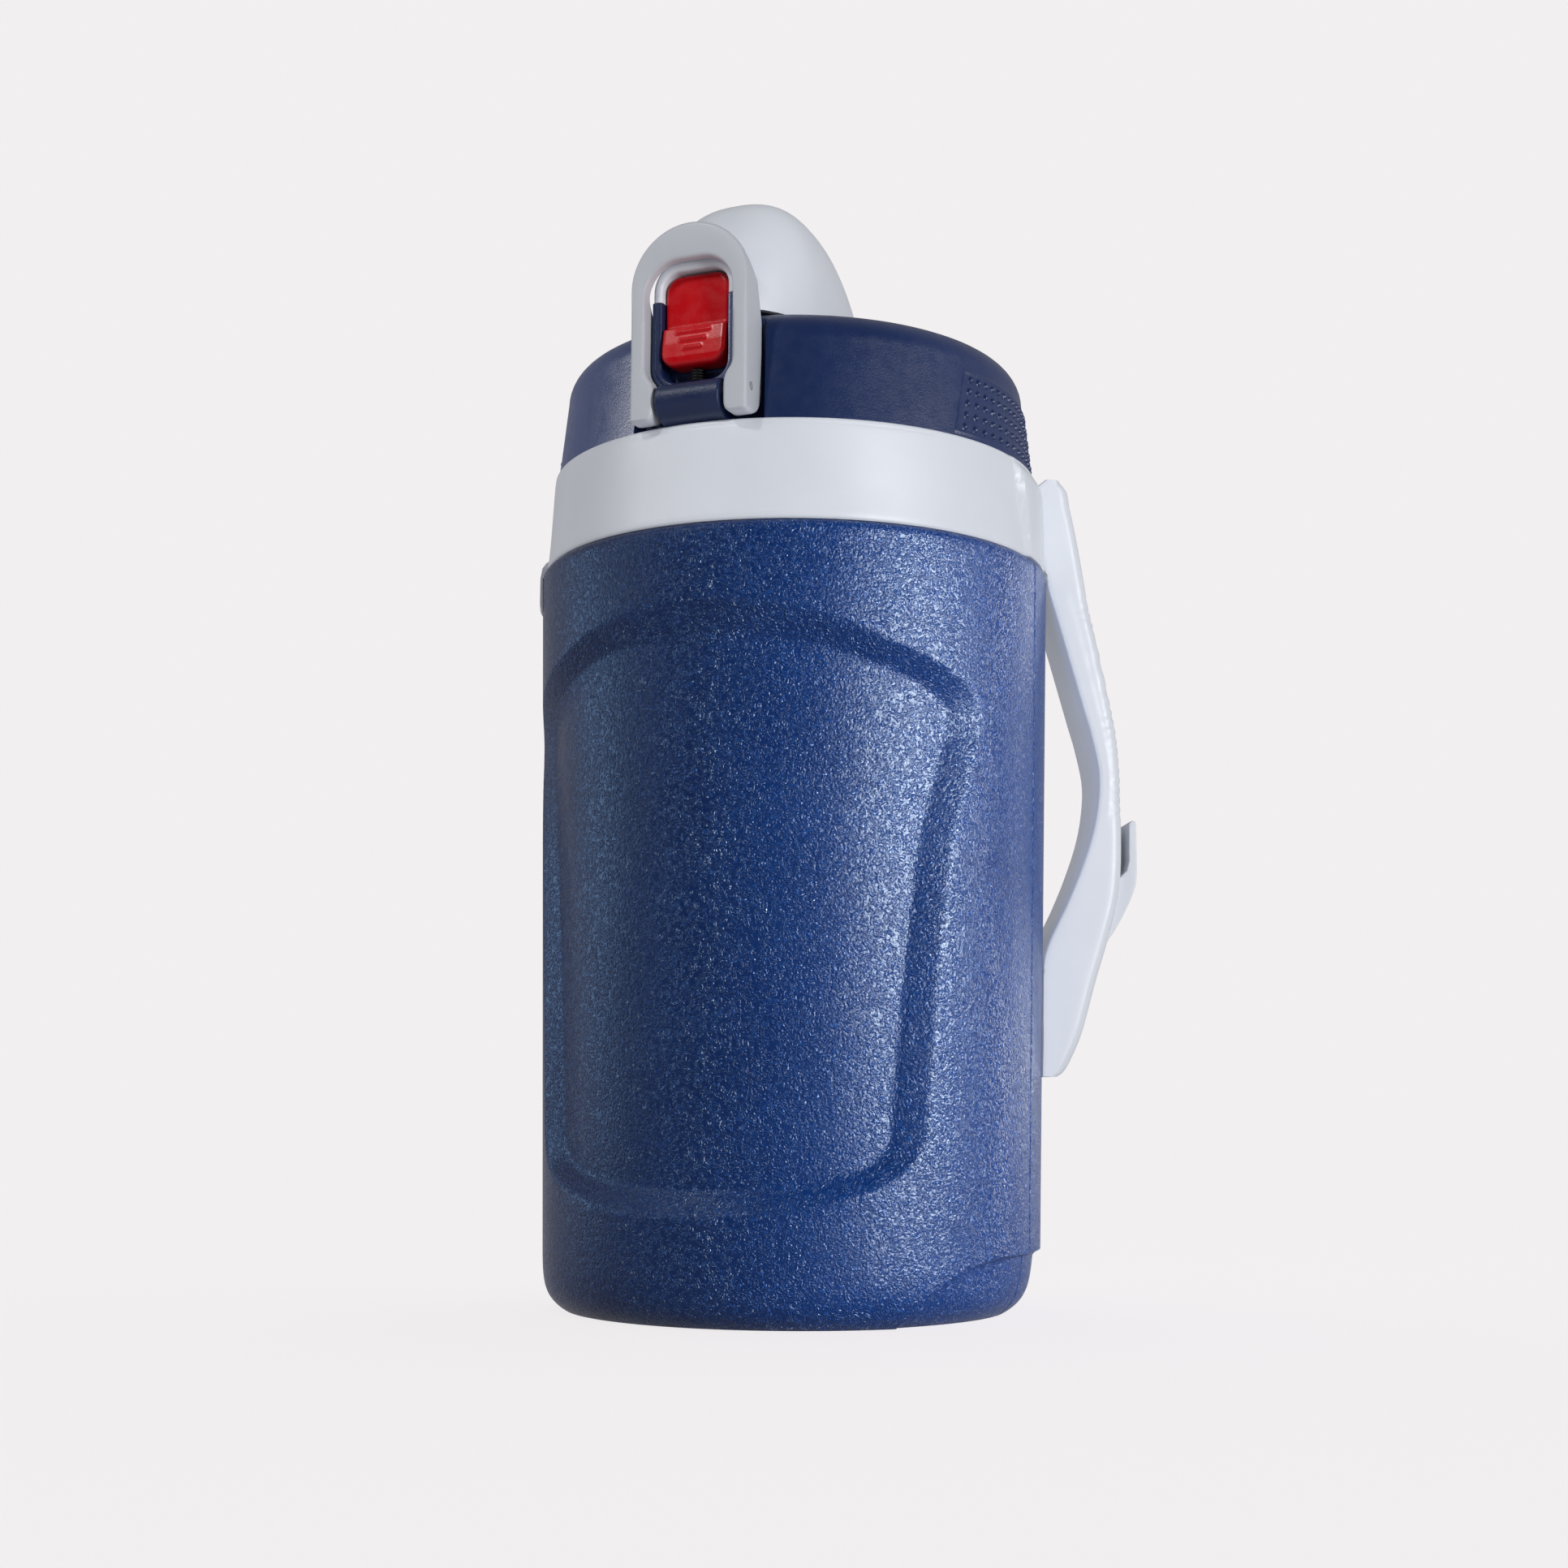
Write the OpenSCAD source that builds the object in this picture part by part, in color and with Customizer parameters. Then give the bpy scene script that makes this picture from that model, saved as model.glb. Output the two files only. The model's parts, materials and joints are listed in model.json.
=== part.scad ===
// Insulated half-gallon water jug with a screw lid, a flip-up spout cover and a swing handle.
// +Z is up, the base stands on z = 0, and the handle hangs on the +X side.
// Lid and panel details are drawn facing -Y and then turned to their own azimuth.

/* [Body] */
// Radius of the outer shell, taken down to the floor
shell_r_base = 68.6; // [66:0.1:70]
// Radius of the outer shell at its top edge
shell_r_top = 72.7; // [71:0.1:74]
// Height of the outer shell
shell_h = 206; // [200:1:210]
// Wall of the outer shell
shell_wall = 2; // [1.8:0.1:2.2]
// Radius of the flat that the jug stands on
foot_r = 62.5; // [60:0.5:64]
// Direction that the moulded panel faces, from -Y towards +X
panel_turn = -26; // [-45:1:0]
// Depth of the moulded panel
panel_depth = 3.4; // [1:0.1:4]

/* [Inner liner] */
// Outer radius of the water vessel
liner_r = 57; // [55:0.5:57.5]
// Wall of the water vessel
liner_wall = 2; // [1.5:0.1:2.5]
// Inner radius of the mouth
mouth_r = 51; // [49:0.5:51]
// Height of the mouth's rim
mouth_z = 250; // [249:0.5:250]

/* [Collar] */
// Radius of the collar at its lower edge
collar_r_low = 71.3; // [70.5:0.1:71.8]
// Radius of the collar at its upper edge
collar_r_high = 69.4; // [69:0.1:70]
// Height of the collar's upper edge
collar_top = 231; // [230.5:0.1:231]

/* [Lid] */
// Direction that the latch faces, from -Y towards +X
lid_turn = -26; // [-45:1:0]
// Radius of the lid at its lower edge
lid_r_low = 68.8; // [68:0.1:69]
// Radius of the lid where its edge starts to round over
lid_r_high = 66.1; // [65:0.1:67]
// Height of the lid's flat top
lid_top = 265.5; // [264:0.5:266]
// Radius of the rounded top edge
lid_round = 9.5; // [7:0.5:10]
// Rise of the lid for each full turn
thread_pitch = 12; // [10:1:12]

/* [Spout and cover] */
// Distance of the spout from the jug's axis
spout_at = 32; // [30:1:33]
// Radius of the spout's bore
spout_bore_r = 8; // [6:0.5:8]
// Height of the spout's lip
spout_top = 296; // [290:1:297]
// Height of the cover's crown
cover_top = 309; // [306:1:310]
// Distance of the cover's hinge behind the jug's axis
hinge_back = 19; // [18:1:20]
// Height of the cover's hinge
hinge_z = 271; // [270:0.5:271.5]

/* [Latch] */
// Distance of the bail's pivot from the jug's axis
bail_at = 69.5; // [69:0.1:69.6]
// Height of the bail's pivot
bail_z = 241.5; // [241:0.5:242]
// Half the width of the bail
bail_half = 17; // [16.5:0.5:17]
// Height of the bail's crown
bail_top = 288; // [284:1:289]
// Width of the release button
button_w = 18.8; // [17:0.1:19]
// Travel of the release button
button_travel = 2.5; // [2:0.1:2.8]

/* [Handle] */
// Width of the swing handle
handle_w = 28; // [26:1:28]
// Distance of the handle's pivot from the jug's axis
pivot_at = 73.4; // [73.3:0.1:73.6]
// Height of the handle's pivot
pivot_z = 229.6; // [229:0.1:229.8]
// Radius of the handle's pin
pivot_pin_r = 1.8; // [1.5:0.1:2]

/* [Hidden] */
$fn = 96;
eps = 0.01;
far = 120;

shell_blue = [0.10, 0.20, 0.42];
lid_navy = [0.10, 0.15, 0.30];
trim_white = [0.85, 0.87, 0.90];
button_red = [0.75, 0.03, 0.04];

// Radial play of a shaft that turns in a hole, and of one that is held
run_play = 0.05;
held_play = 0.02;

// Heights of the stack above the shell
collar_wall = 2.4;
deck_t = 2.4;
lid_low = 231.6;
lid_wall = 2.2;
neck_r = mouth_r + 2.2;
thread_h = 1.8;
thread_tall = 3;
skirt_in = neck_r + thread_h + 1;
skirt_out = skirt_in + 2;
gasket_t = 1.2;
disc_z = mouth_z + gasket_t + 0.2;
disc_t = 2.2;
foam_z = disc_z + disc_t + 0.1;

// The bay in the lid that the latch sits in
bay_half = 18.6;
bay_back = 61.5;
bay_low = 233.2;
housing_half = 9.3;
frame_half = 12.3;
frame_in = button_w / 2 + 0.3;
frame_top = 268;
face_at = 69.0;
bail_face = 73;
bail_leg_in = 12.9;
bail_foot_r = 7.2;
bail_foot_in = 10.2;
bail_pin_r = 1.1;
bail_open_top = 278;
button_low = 249.5;
frame_low = button_low - button_travel - 1.6;
button_top = 275.5;
nose_top = 280;

cover_half = 23;
cover_wall = 2;
knuckle_r = 3.6;
hinge_pin_r = 1.3;

// Stations of the swing handle: height, inner face, outer face
handle_stations = [
    [64, 68.5, 73.2], [67, 68.5, 76.2], [76, 68.5, 80.2], [90, 68.6, 84.2], [100, 70.8, 87.4],
    [112, 76.4, 90.8], [121, 80.2, 92.0], [131, 83.6, 92.3], [140, 85.4, 92.3], [149, 85.8, 92.2],
    [159, 83.9, 91.5], [168, 81.4, 90.0], [187, 76.2, 86.2], [198, 73.1, 83.8], [211, 69.3, 81.7],
    [217, 67.5, 80.4], [226, 67.5, 78.9]];

function lerp(a, b, t) = a + (b - a) * t;
function shell_r(z) = lerp(shell_r_base, shell_r_top, z / shell_h);
function arc(cx, cy, r, a0, a1, n = 8) =
    [for (i = [0:n]) [cx + r * cos(lerp(a0, a1, i / n)), cy + r * sin(lerp(a0, a1, i / n))]];
function bend(p, q, s, n = 6) =
    [for (i = [0:n]) let (t = i / n) (1 - t) * (1 - t) * p + 2 * t * (1 - t) * q + t * t * s];
function flip(points) = [for (i = [len(points) - 1:-1:0]) [-points[i][0], points[i][1]]];

// Drawn in a plane of distance forward of the axis and height, then extruded across the jug
module across(w) rotate([0, 0, -90]) rotate([90, 0, 0]) linear_extrude(w, center = true) children();
// Drawn in a plane of distance across and height, then extruded forwards from the axis
module forward(from, to) translate([0, -from, 0]) rotate([90, 0, 0]) linear_extrude(to - from) children();
// A cylinder that lies across the jug, at a distance forward of the axis and a height
module cross_bar(at, z, r, w) translate([0, -at, z]) rotate([0, 90, 0]) cylinder(r = r, h = w, center = true);
module both_sides() {
    children();
    mirror([1, 0, 0]) children();
}
module on_lid() rotate([0, 0, lid_turn]) children();

// ---- Outer shell -------------------------------------------------------------------------
// Outline of the moulded panel, grown by g all round
function panel_outline(g) =
    let (lo = 31 - g, hi = 182 + g,
         side = function (z) 55.7 + g + 8.6 * pow(max(0, (z - 50) / 104), 1.6),
         roof = function (x) hi - x * x / 200,
         floor_z = function (x) lo + x * x / 320,
         right = concat([for (x = [0:10:40]) [x, floor_z(x)]],
                        bend([43, floor_z(43)], [side(38), 36 - g], [side(48), 48], 5),
                        [for (z = [62:13:140]) [side(z), z]],
                        bend([side(148), 148], [side(160) + 1.9, roof(60) + 4], [49, roof(49)], 5),
                        [for (x = [40:-10:10]) [x, roof(x)]]))
    concat(right, flip([for (i = [1:len(right) - 1]) right[i]]));

module shell_profile(inset) {
    top = shell_h - inset;
    round_top = 2.6 - min(inset, 2);
    polygon(concat(
        [[0, inset]],
        bend([foot_r - inset, inset], [shell_r(0) - inset - 0.4, inset + 1.5],
             [shell_r(16) - inset, 16], 8),
        arc(shell_r(top) - inset - round_top, top - round_top, round_top, 0, 90, 4),
        [[0, top]]));
}
module panel_prism(g) for (turn = [0, 180])
    rotate([0, 0, panel_turn + turn]) forward(0, far) polygon(panel_outline(g));
module shell_cavity() difference() {
    rotate_extrude() difference() {
        shell_profile(shell_wall);
        polygon([[foot_r - 4, 0], [foot_r + 2, 20], [shell_r(40) - shell_wall, 40], [far, 40], [far, 0]]);
    }
    intersection() {
        panel_prism(shell_wall);
        rotate_extrude() polygon([
            [shell_r(0) - shell_wall - panel_depth, 0], [far, 0], [far, shell_h],
            [shell_r(shell_h) - shell_wall - panel_depth, shell_h]]);
    }
}
// The finger scoop moulded into the lower edge, facing the right-hand side
scoop_turn = 66;
scoop_half = 44;
scoop_h = 17;
module finger_scoop() rotate([0, 0, scoop_turn]) intersection() {
    forward(20, far) polygon(concat([[-48, -1], [48, -1]],
        [for (a = [scoop_half:-4:-scoop_half])
            [shell_r(0) * sin(a), scoop_h * (1 - pow(abs(a) / scoop_half, 4))]]));
    rotate_extrude() polygon([[61.4, -1], [67, scoop_h + 1], [far, scoop_h + 1], [far, -1]]);
}
base_ring = [30, 52];
base_ring_depth = 1.2;
plug_at = 41;
plug_r = 7;
module outer_shell() color(shell_blue) difference() {
    rotate_extrude() shell_profile(0);
    shell_cavity();
    translate([0, 0, shell_h - 3]) cylinder(r = neck_r + 9.8, h = 4);
    intersection() {
        panel_prism(0);
        rotate_extrude() polygon([
            [shell_r(0) - panel_depth, 0], [far, 0], [far, shell_h],
            [shell_r(shell_h) - panel_depth, shell_h]]);
    }
    finger_scoop();
    translate([0, 0, -eps]) rotate_extrude() translate([base_ring[0], 0])
        square([base_ring[1] - base_ring[0], base_ring_depth]);
    for (s = [-1, 1]) translate([s * plug_at, 0, -1]) cylinder(r = plug_r - 1.5, h = shell_wall + 2);
}

module foam_insulation() color("khaki") difference() {
    shell_cavity();
    translate([0, 0, shell_h - 3.5]) cylinder(r = far, h = 4);
    liner_solid(0.1);
    rotate_extrude() translate([neck_r, shell_h - 7]) square([10.2, 10]);
    for (s = [-1, 1]) translate([s * plug_at, 0, 0]) cylinder(r = plug_r - 1.2, h = 6.1);
}

module base_plugs() color(shell_blue) for (s = [-1, 1]) translate([s * plug_at, 0, 0]) {
    translate([0, 0, base_ring_depth - 0.9]) cylinder(r = plug_r, h = 0.9 - 0.02);
    translate([0, 0, base_ring_depth - 0.1]) cylinder(r = plug_r - 1.6, h = 4.5);
}

// ---- Inner liner -------------------------------------------------------------------------
liner_floor = 12;
liner_shoulder = 195;
function liner_points(out) = concat(
    [[0, liner_floor - out]],
    arc(liner_r - liner_wall - 8, liner_floor + 8, 8 + out, -90, 0, 6),
    [[liner_r - liner_wall + out, liner_shoulder - 6],
     [mouth_r + out * (neck_r - mouth_r) / liner_wall, liner_shoulder + 3]]);
module liner_solid(gap) rotate_extrude() polygon(concat(
    liner_points(liner_wall + gap), [[neck_r + gap, mouth_z], [0, mouth_z]]));

// A ridge that climbs around the axis between two radii, its foot sunk into the wall
module helix_ridge(r_foot, r_crest, z0, turns, from = 0) {
    steps = 48;
    n = round(steps * turns);
    ring = [for (i = [0:n]) let (a = from + 360 * i / steps, z = z0 + thread_pitch * i / steps)
        for (p = [[r_foot, -thread_tall / 2], [r_crest, -thread_tall / 2 + 1],
                  [r_crest, thread_tall / 2 - 1], [r_foot, thread_tall / 2]])
            [p[0] * cos(a), p[0] * sin(a), z + p[1]]];
    sides = [for (i = [0:n - 1], k = [0:3]) let (q = (k + 1) % 4)
        [4 * i + k, 4 * i + q, 4 * (i + 1) + q, 4 * (i + 1) + k]];
    out = r_crest > r_foot;
    faces = concat([[3, 2, 1, 0]], sides, [[4 * n, 4 * n + 1, 4 * n + 2, 4 * n + 3]]);
    polyhedron(ring, out ? faces : [for (f = faces) [for (i = [len(f) - 1:-1:0]) f[i]]], convexity = 6);
}
male_low = 236;
module inner_liner() color("gainsboro") {
    difference() {
        liner_solid(0);
        rotate_extrude() polygon(concat(liner_points(0), [[mouth_r, mouth_z + 1], [0, mouth_z + 1]]));
    }
    helix_ridge(neck_r - 0.6, neck_r + thread_h, male_low, 1);
}

// ---- Collar ------------------------------------------------------------------------------
slot_half = handle_w / 2 + 0.6;
slot_back = 66.6;
collar_sleeve = 2;
lug_half = 6.4;
lug_r = 4.2;
lug_low = 217;
fairing_r = 72.3;
tab_low = 195;
module ring_sector(r_in, r_out, z0, z1, half) intersection() {
    rotate_extrude() translate([r_in, z0]) square([r_out - r_in, z1 - z0]);
    linear_extrude(far * 3) polygon([[0, 0], [far * cos(half), far * sin(half)],
                                     [2 * far, 0], [far * cos(half), -far * sin(half)]]);
}
module collar() color(trim_white) difference() {
    union() {
        difference() {
            union() {
                rotate_extrude() polygon([
                    [neck_r + 0.1, shell_h - 6], [neck_r + 9.4, shell_h - 6], [neck_r + 9.4, shell_h],
                    [collar_r_low, shell_h], [collar_r_high + 0.1, collar_top - 0.8],
                    [collar_r_high - 0.7, collar_top], [neck_r + 0.1, collar_top]]);
                ring_sector(66, fairing_r, shell_h, collar_top - 1.2, 34);
            }
            rotate_extrude() polygon([
                [neck_r + 2.1, shell_h - 7], [neck_r + 7.4, shell_h - 7], [neck_r + 7.4, shell_h + 2],
                [collar_r_low - collar_wall, shell_h + 2],
                [collar_r_high - collar_wall, collar_top - deck_t], [neck_r + 2.1, collar_top - deck_t]]);
            translate([slot_back, -slot_half, shell_h - 1]) cube([20, 2 * slot_half, 40]);
        }
        // Back and side walls of the slot that the handle's head turns in
        intersection() {
            union() {
                translate([slot_back - 2.4, -slot_half - 2, shell_h])
                    cube([2.4, 2 * slot_half + 4, collar_top - shell_h]);
                for (s = [-1, 1]) translate([slot_back - 2.4, s * (slot_half + 1) - 1, shell_h])
                    cube([7, 2, collar_top - shell_h]);
            }
            rotate_extrude() polygon([[40, shell_h], [collar_r_low, shell_h],
                                      [collar_r_high - 0.7, collar_top], [40, collar_top]]);
        }
        // Lug that carries the handle's pin
        rotate([90, 0, 0]) linear_extrude(2 * lug_half, center = true) {
            translate([pivot_at, pivot_z]) circle(r = lug_r);
            polygon([[slot_back - 1, lug_low], [slot_back - 1, pivot_z - 0.4],
                     [pivot_at - 2.2, pivot_z + 3.57], [pivot_at + 2.5, pivot_z - 3.37]]);
        }
        // Snap tab opposite the handle
        rotate([0, 0, 180]) difference() {
            ring_sector(69.4, fairing_r + 1.2, tab_low, shell_h + 8, 5.5);
            rotate_extrude() polygon([[60, tab_low - 1], [shell_r(tab_low - 1) + 0.1, tab_low - 1],
                                      [shell_r(shell_h) + 0.1, shell_h], [60, shell_h]]);
        }
    }
    translate([pivot_at, 0, pivot_z]) rotate([90, 0, 0])
        cylinder(r = pivot_pin_r + held_play, h = 3 * lug_half, center = true);
}

module handle_pin() color("silver") translate([pivot_at, 0, pivot_z]) rotate([90, 0, 0])
    cylinder(r = pivot_pin_r, h = 24, center = true);

// ---- Swing handle ------------------------------------------------------------------------
hook_w = 18;
head_r = 4.8;
shell_gap = 0.4;
module handle_side() {
    polygon(concat([for (s = handle_stations) [s[2], s[0]]],
                   [for (i = [len(handle_stations) - 1:-1:0])
                       [handle_stations[i][1], handle_stations[i][0]]]));
    translate([pivot_at, pivot_z]) circle(r = head_r);
    polygon([[67.5, 225.9], [78.9, 225.9], [pivot_at + head_r * cos(8), pivot_z + head_r * sin(8)],
             [pivot_at - head_r * cos(8), pivot_z + head_r * sin(8)]]);
}
module hook_side() polygon(concat(
    [[90, 112], [92.4, 119.5], [94.2, 121.5], [95, 124], [95.2, 135]],
    arc(96.2, 134.9, 1.1, 180, 0, 4),
    [[97.4, 122], [96.7, 117.3], [94.8, 112.8], [92.2, 108], [88, 102]]));
module side_handle() color(trim_white) difference() {
    rotate([90, 0, 0]) {
        linear_extrude(handle_w, center = true) handle_side();
        linear_extrude(hook_w, center = true) hook_side();
    }
    // Clearance all round the shell
    rotate_extrude() polygon([[0, -1], [shell_r(0) + shell_gap, -1],
                              [shell_r(shell_h) + shell_gap, shell_h + shell_gap], [0, shell_h + shell_gap]]);
    // Fork gap around the collar's lug
    translate([60, -lug_half - 0.5, lug_low - 0.5]) cube([30, 2 * lug_half + 1, 30]);
    translate([pivot_at, 0, pivot_z]) rotate([90, 0, 0])
        cylinder(r = pivot_pin_r + run_play, h = 24.4, center = true);
}

// ---- Lid ---------------------------------------------------------------------------------
module lid_gasket() color("dimgray") rotate_extrude() translate([mouth_r - 0.8, mouth_z + 0.1])
    square([neck_r - mouth_r + 1.2, gasket_t]);

module lid_profile(inset) {
    r = lid_round - inset;
    polygon(concat(
        [[0, lid_low - (inset > 0 ? 1 : 0)], [lid_r_low - inset - 0.5, lid_low - (inset > 0 ? 1 : 0)],
         [lid_r_low - inset, lid_low + 0.7]],
        arc(lid_r_high - lid_round, lid_top - lid_round, r, 0, 90, 8),
        [[0, lid_top - inset]]));
}
vent_at = 2;
module spout_hole(r) translate([0, -spout_at, lid_low]) cylinder(r = r, h = 60);
module vent_hole(r) translate([0, -vent_at, lid_low]) cylinder(r = r, h = 60);
ear_in = 9.4;
ear_w = 3.4;
module hinge_ears() color(lid_navy) on_lid() difference() {
    both_sides() translate([ear_in + ear_w / 2, 0, 0]) {
        cross_bar(-hinge_back, hinge_z, knuckle_r, ear_w);
        translate([-ear_w / 2, hinge_back - knuckle_r, lid_top])
            cube([ear_w, 2 * knuckle_r, hinge_z - lid_top]);
    }
    cross_bar(-hinge_back, hinge_z, hinge_pin_r + held_play, 60);
}
module lid_shell() color(lid_navy) on_lid() difference() {
    union() {
        difference() {
            rotate_extrude() lid_profile(0);
            rotate_extrude() lid_profile(lid_wall);
        }
        // Pocket walls of the latch bay, kept inside the lid's own outline
        intersection() {
            translate([-bay_half - 2, -far, lid_low]) cube([2 * bay_half + 4, far - bay_back + 2, 50]);
            rotate_extrude() lid_profile(0);
        }
    }
    translate([-bay_half, -far, bay_low]) cube([2 * bay_half, far - bay_back, 50]);
    spout_hole(13);
    vent_hole(2.6);
}
module lid_liner() color("gainsboro") on_lid() difference() {
    union() {
        difference() {
            translate([0, 0, lid_low + 1]) cylinder(r = skirt_out, h = disc_z + disc_t - lid_low - 1);
            translate([0, 0, lid_low]) cylinder(r = skirt_in, h = disc_z - lid_low);
        }
        helix_ridge(skirt_in + 0.6, neck_r + 0.7, male_low - 0.1 * thread_pitch, 0.6, 144);
    }
    spout_hole(spout_bore_r);
    vent_hole(2);
}
module lid_foam() color("khaki") on_lid() difference() {
    translate([0, 0, foam_z]) cylinder(r = bay_back - 4.5, h = lid_top - lid_wall - foam_z - 0.3);
    spout_hole(11.2);
    vent_hole(3.4);
}

// Navy frame around the button, with the knuckle that the bail turns on
module latch_housing() color(lid_navy) on_lid() difference() {
    union() {
        // Back plate and U-shaped rim
        forward(bay_back + 0.05, bay_back + 2) translate([-frame_half, bay_low + 0.2])
            square([2 * frame_half, lid_top - 3.5 - bay_low]);
        forward(bay_back + 1, face_at) u_outline(frame_half, frame_low - 2.8, frame_top);
        // Knuckle and the tail below it
        cross_bar(bail_at, bail_z, 4.4, 2 * housing_half);
        translate([-housing_half, -bail_at - 1.2, bay_low + 0.2])
            cube([2 * housing_half, bail_at + 1.2 - bay_back - 0.05, bail_z - bay_low]);
    }
    cross_bar(bail_at, bail_z, bail_pin_r + held_play, 40);
    // The button's channel, cut into the knuckle too
    forward(bay_back + 2, far) u_outline(frame_in, frame_low, frame_top + 1);
    // Clearance for the bail's feet beside the knuckle
    both_sides() translate([housing_half, -far, bay_low - 1])
        cube([10, far - bay_back, bail_z + bail_foot_r + 1.5 - bay_low]);
}
module u_outline(half, low, top) polygon(concat(
    [[half, top]], arc(half - 7, low + 7, 7, 0, -90, 5), flip(arc(half - 7, low + 7, 7, 0, -90, 5)),
    [[-half, top]]));

module bail_pin() color("silver") on_lid() cross_bar(bail_at, bail_z, bail_pin_r, 31);

spring_wire = 0.5;
module coil(r, wire, turns, pitch) for (i = [0:turns - 1]) translate([0, 0, i * pitch])
    rotate_extrude($fn = 32) translate([r, 0]) circle(r = wire, $fn = 16);
module button_spring() color("silver") on_lid() translate([0, -66, frame_low + 0.7]) {
    coil(1.6, spring_wire, 4, 0.8);
}

// ---- Spout, vent and cover ---------------------------------------------------------------
module spout() color("gainsboro") on_lid() translate([0, -spout_at, 0]) rotate_extrude() polygon([
    [spout_bore_r, disc_z + disc_t + 0.1], [10.6, disc_z + disc_t + 0.1], [10.6, lid_top + 0.1],
    [15, lid_top + 0.1], [15, lid_top + 1.6], [13.2, lid_top + 3.6], [11.8, 282],
    [11.2, spout_top - 2.4], [11.6, spout_top - 1.2], [10.8, spout_top], [spout_bore_r + 0.8, spout_top],
    [spout_bore_r, spout_top - 1]]);
module spout_o_ring() color("dimgray") on_lid() translate([0, -spout_at, lid_top - 1.2])
    rotate_extrude() translate([11.8, 0]) circle(r = 1.1, $fn = 24);
module vent_valve() color("dimgray") on_lid() translate([0, -vent_at, 0]) {
    translate([0, 0, lid_top + 0.05]) cylinder(r = 4.6, h = 1.5);
    translate([0, 0, disc_z + disc_t]) cylinder(r = 2.4, h = lid_top - disc_z - disc_t + 0.1);
}

// Balls that the hood is stretched over: distance forward of the axis, height, radius
hood_balls = [[32, cover_top - cover_half, cover_half], [16, cover_top - cover_half - 0.6, cover_half],
              [49.5, 273.5, 11.5], [42, 284, 16.5], [-1.5, 276, 12.5]];
// The right half of its foot, from above
hood_foot = [[13, -61], [20, -52], [23.8, -38], [23.8, -4], [19, 9], [13, 14]];
function inset_foot(t) = [for (p = hood_foot) p - t * [p[0], p[1] + 24] / norm([p[0], p[1] + 24])];
// The hood, inset all round by t and open below the height low
module hood(t, low) intersection() {
    translate([-far, -far, low]) cube([2 * far, 2 * far, far]);
    hull() {
        translate([0, 0, low]) linear_extrude(1) polygon(concat(inset_foot(t), flip(inset_foot(t))));
        for (ball = hood_balls) translate([0, -ball[0], ball[1]]) sphere(r = ball[2] - t, $fn = 32);
    }
}
// A door-shaped outline with its two upper corners rounded to radius r
module arch_outline(half, low, top, r) polygon(concat(
    [[half, low]], arc(half - r, top - r, r, 0, 90, 10), flip(arc(half - r, top - r, r, 0, 90, 10)),
    [[-half, low]]));
module nose_arch() difference() {
    arch_outline(frame_half, frame_top + 0.3, nose_top, 9);
    arch_outline(frame_in, frame_top - 1, button_top + 0.6, 5);
}
module spout_cover() color(trim_white) on_lid() difference() {
    union() {
        difference() {
            hood(0, lid_top + 0.6);
            hood(cover_wall, lid_top - 1);
        }
        forward(59.5, face_at) nose_arch();
        // Knuckle and its arm
        cross_bar(-hinge_back, hinge_z, knuckle_r, 2 * ear_in - 0.8);
        translate([-ear_in + 0.4, hinge_back - 6.5, hinge_z - knuckle_r])
            cube([2 * ear_in - 0.8, 6, 2 * knuckle_r]);
    }
    cross_bar(-hinge_back, hinge_z, hinge_pin_r + run_play, 60);
    // Room for the torsion spring in the middle of the knuckle
    cross_bar(-hinge_back, hinge_z, knuckle_r + 1, 7);
}
module mouth_seal() color("dimgray") on_lid() translate([0, -spout_at, 0]) {
    translate([0, 0, spout_top + 0.35]) cylinder(r1 = 10, r2 = 11, h = 2.2);
    translate([0, 0, spout_top + 2.5]) cylinder(r = 4, h = cover_top - cover_wall - spout_top - 3.6);
}
module cover_pin() color("silver") on_lid() cross_bar(-hinge_back, hinge_z, hinge_pin_r, 25);
module cover_spring() color("silver") on_lid() translate([-2.4, hinge_back, hinge_z])
    rotate([0, 90, 0]) coil(2.2, spring_wire, 6, 0.96);

// ---- Lock bail and button ----------------------------------------------------------------
module lock_bail() color(trim_white) on_lid() difference() {
    union() {
        // Thin crown in front of the cover's nose
        forward(bail_face - 3.5, bail_face) difference() {
            arch_outline(bail_half, bail_z, bail_top, bail_half - 0.5);
            arch_outline(bail_leg_in, bail_z - 1, bail_open_top, 9.6);
        }
        // Deep legs that taper into the crown
        both_sides() translate([(bail_leg_in + bail_half) / 2, 0, 0]) across(bail_half - bail_leg_in) {
            polygon([[bail_at, bail_z - 5], [bail_at + 3.5, bail_z], [bail_face, bail_z],
                     [bail_face, bail_open_top], [bail_face - 3.5, bail_open_top - 1],
                     [bay_back + 3, lid_top + 2.5], [bay_back + 0.6, lid_top - 2],
                     [bay_back + 0.6, bail_z]]);
        }
        // Feet around the pin
        both_sides() translate([(bail_foot_in + bail_half) / 2, 0, 0]) across(bail_half - bail_foot_in)
            intersection() {
                translate([bail_at, bail_z]) circle(r = bail_foot_r);
                translate([bail_at - 10, bail_z - 10]) square([bail_face - bail_at + 10, 20]);
            }
    }
    cross_bar(bail_at, bail_z, bail_pin_r + run_play, 60);
}

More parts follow.
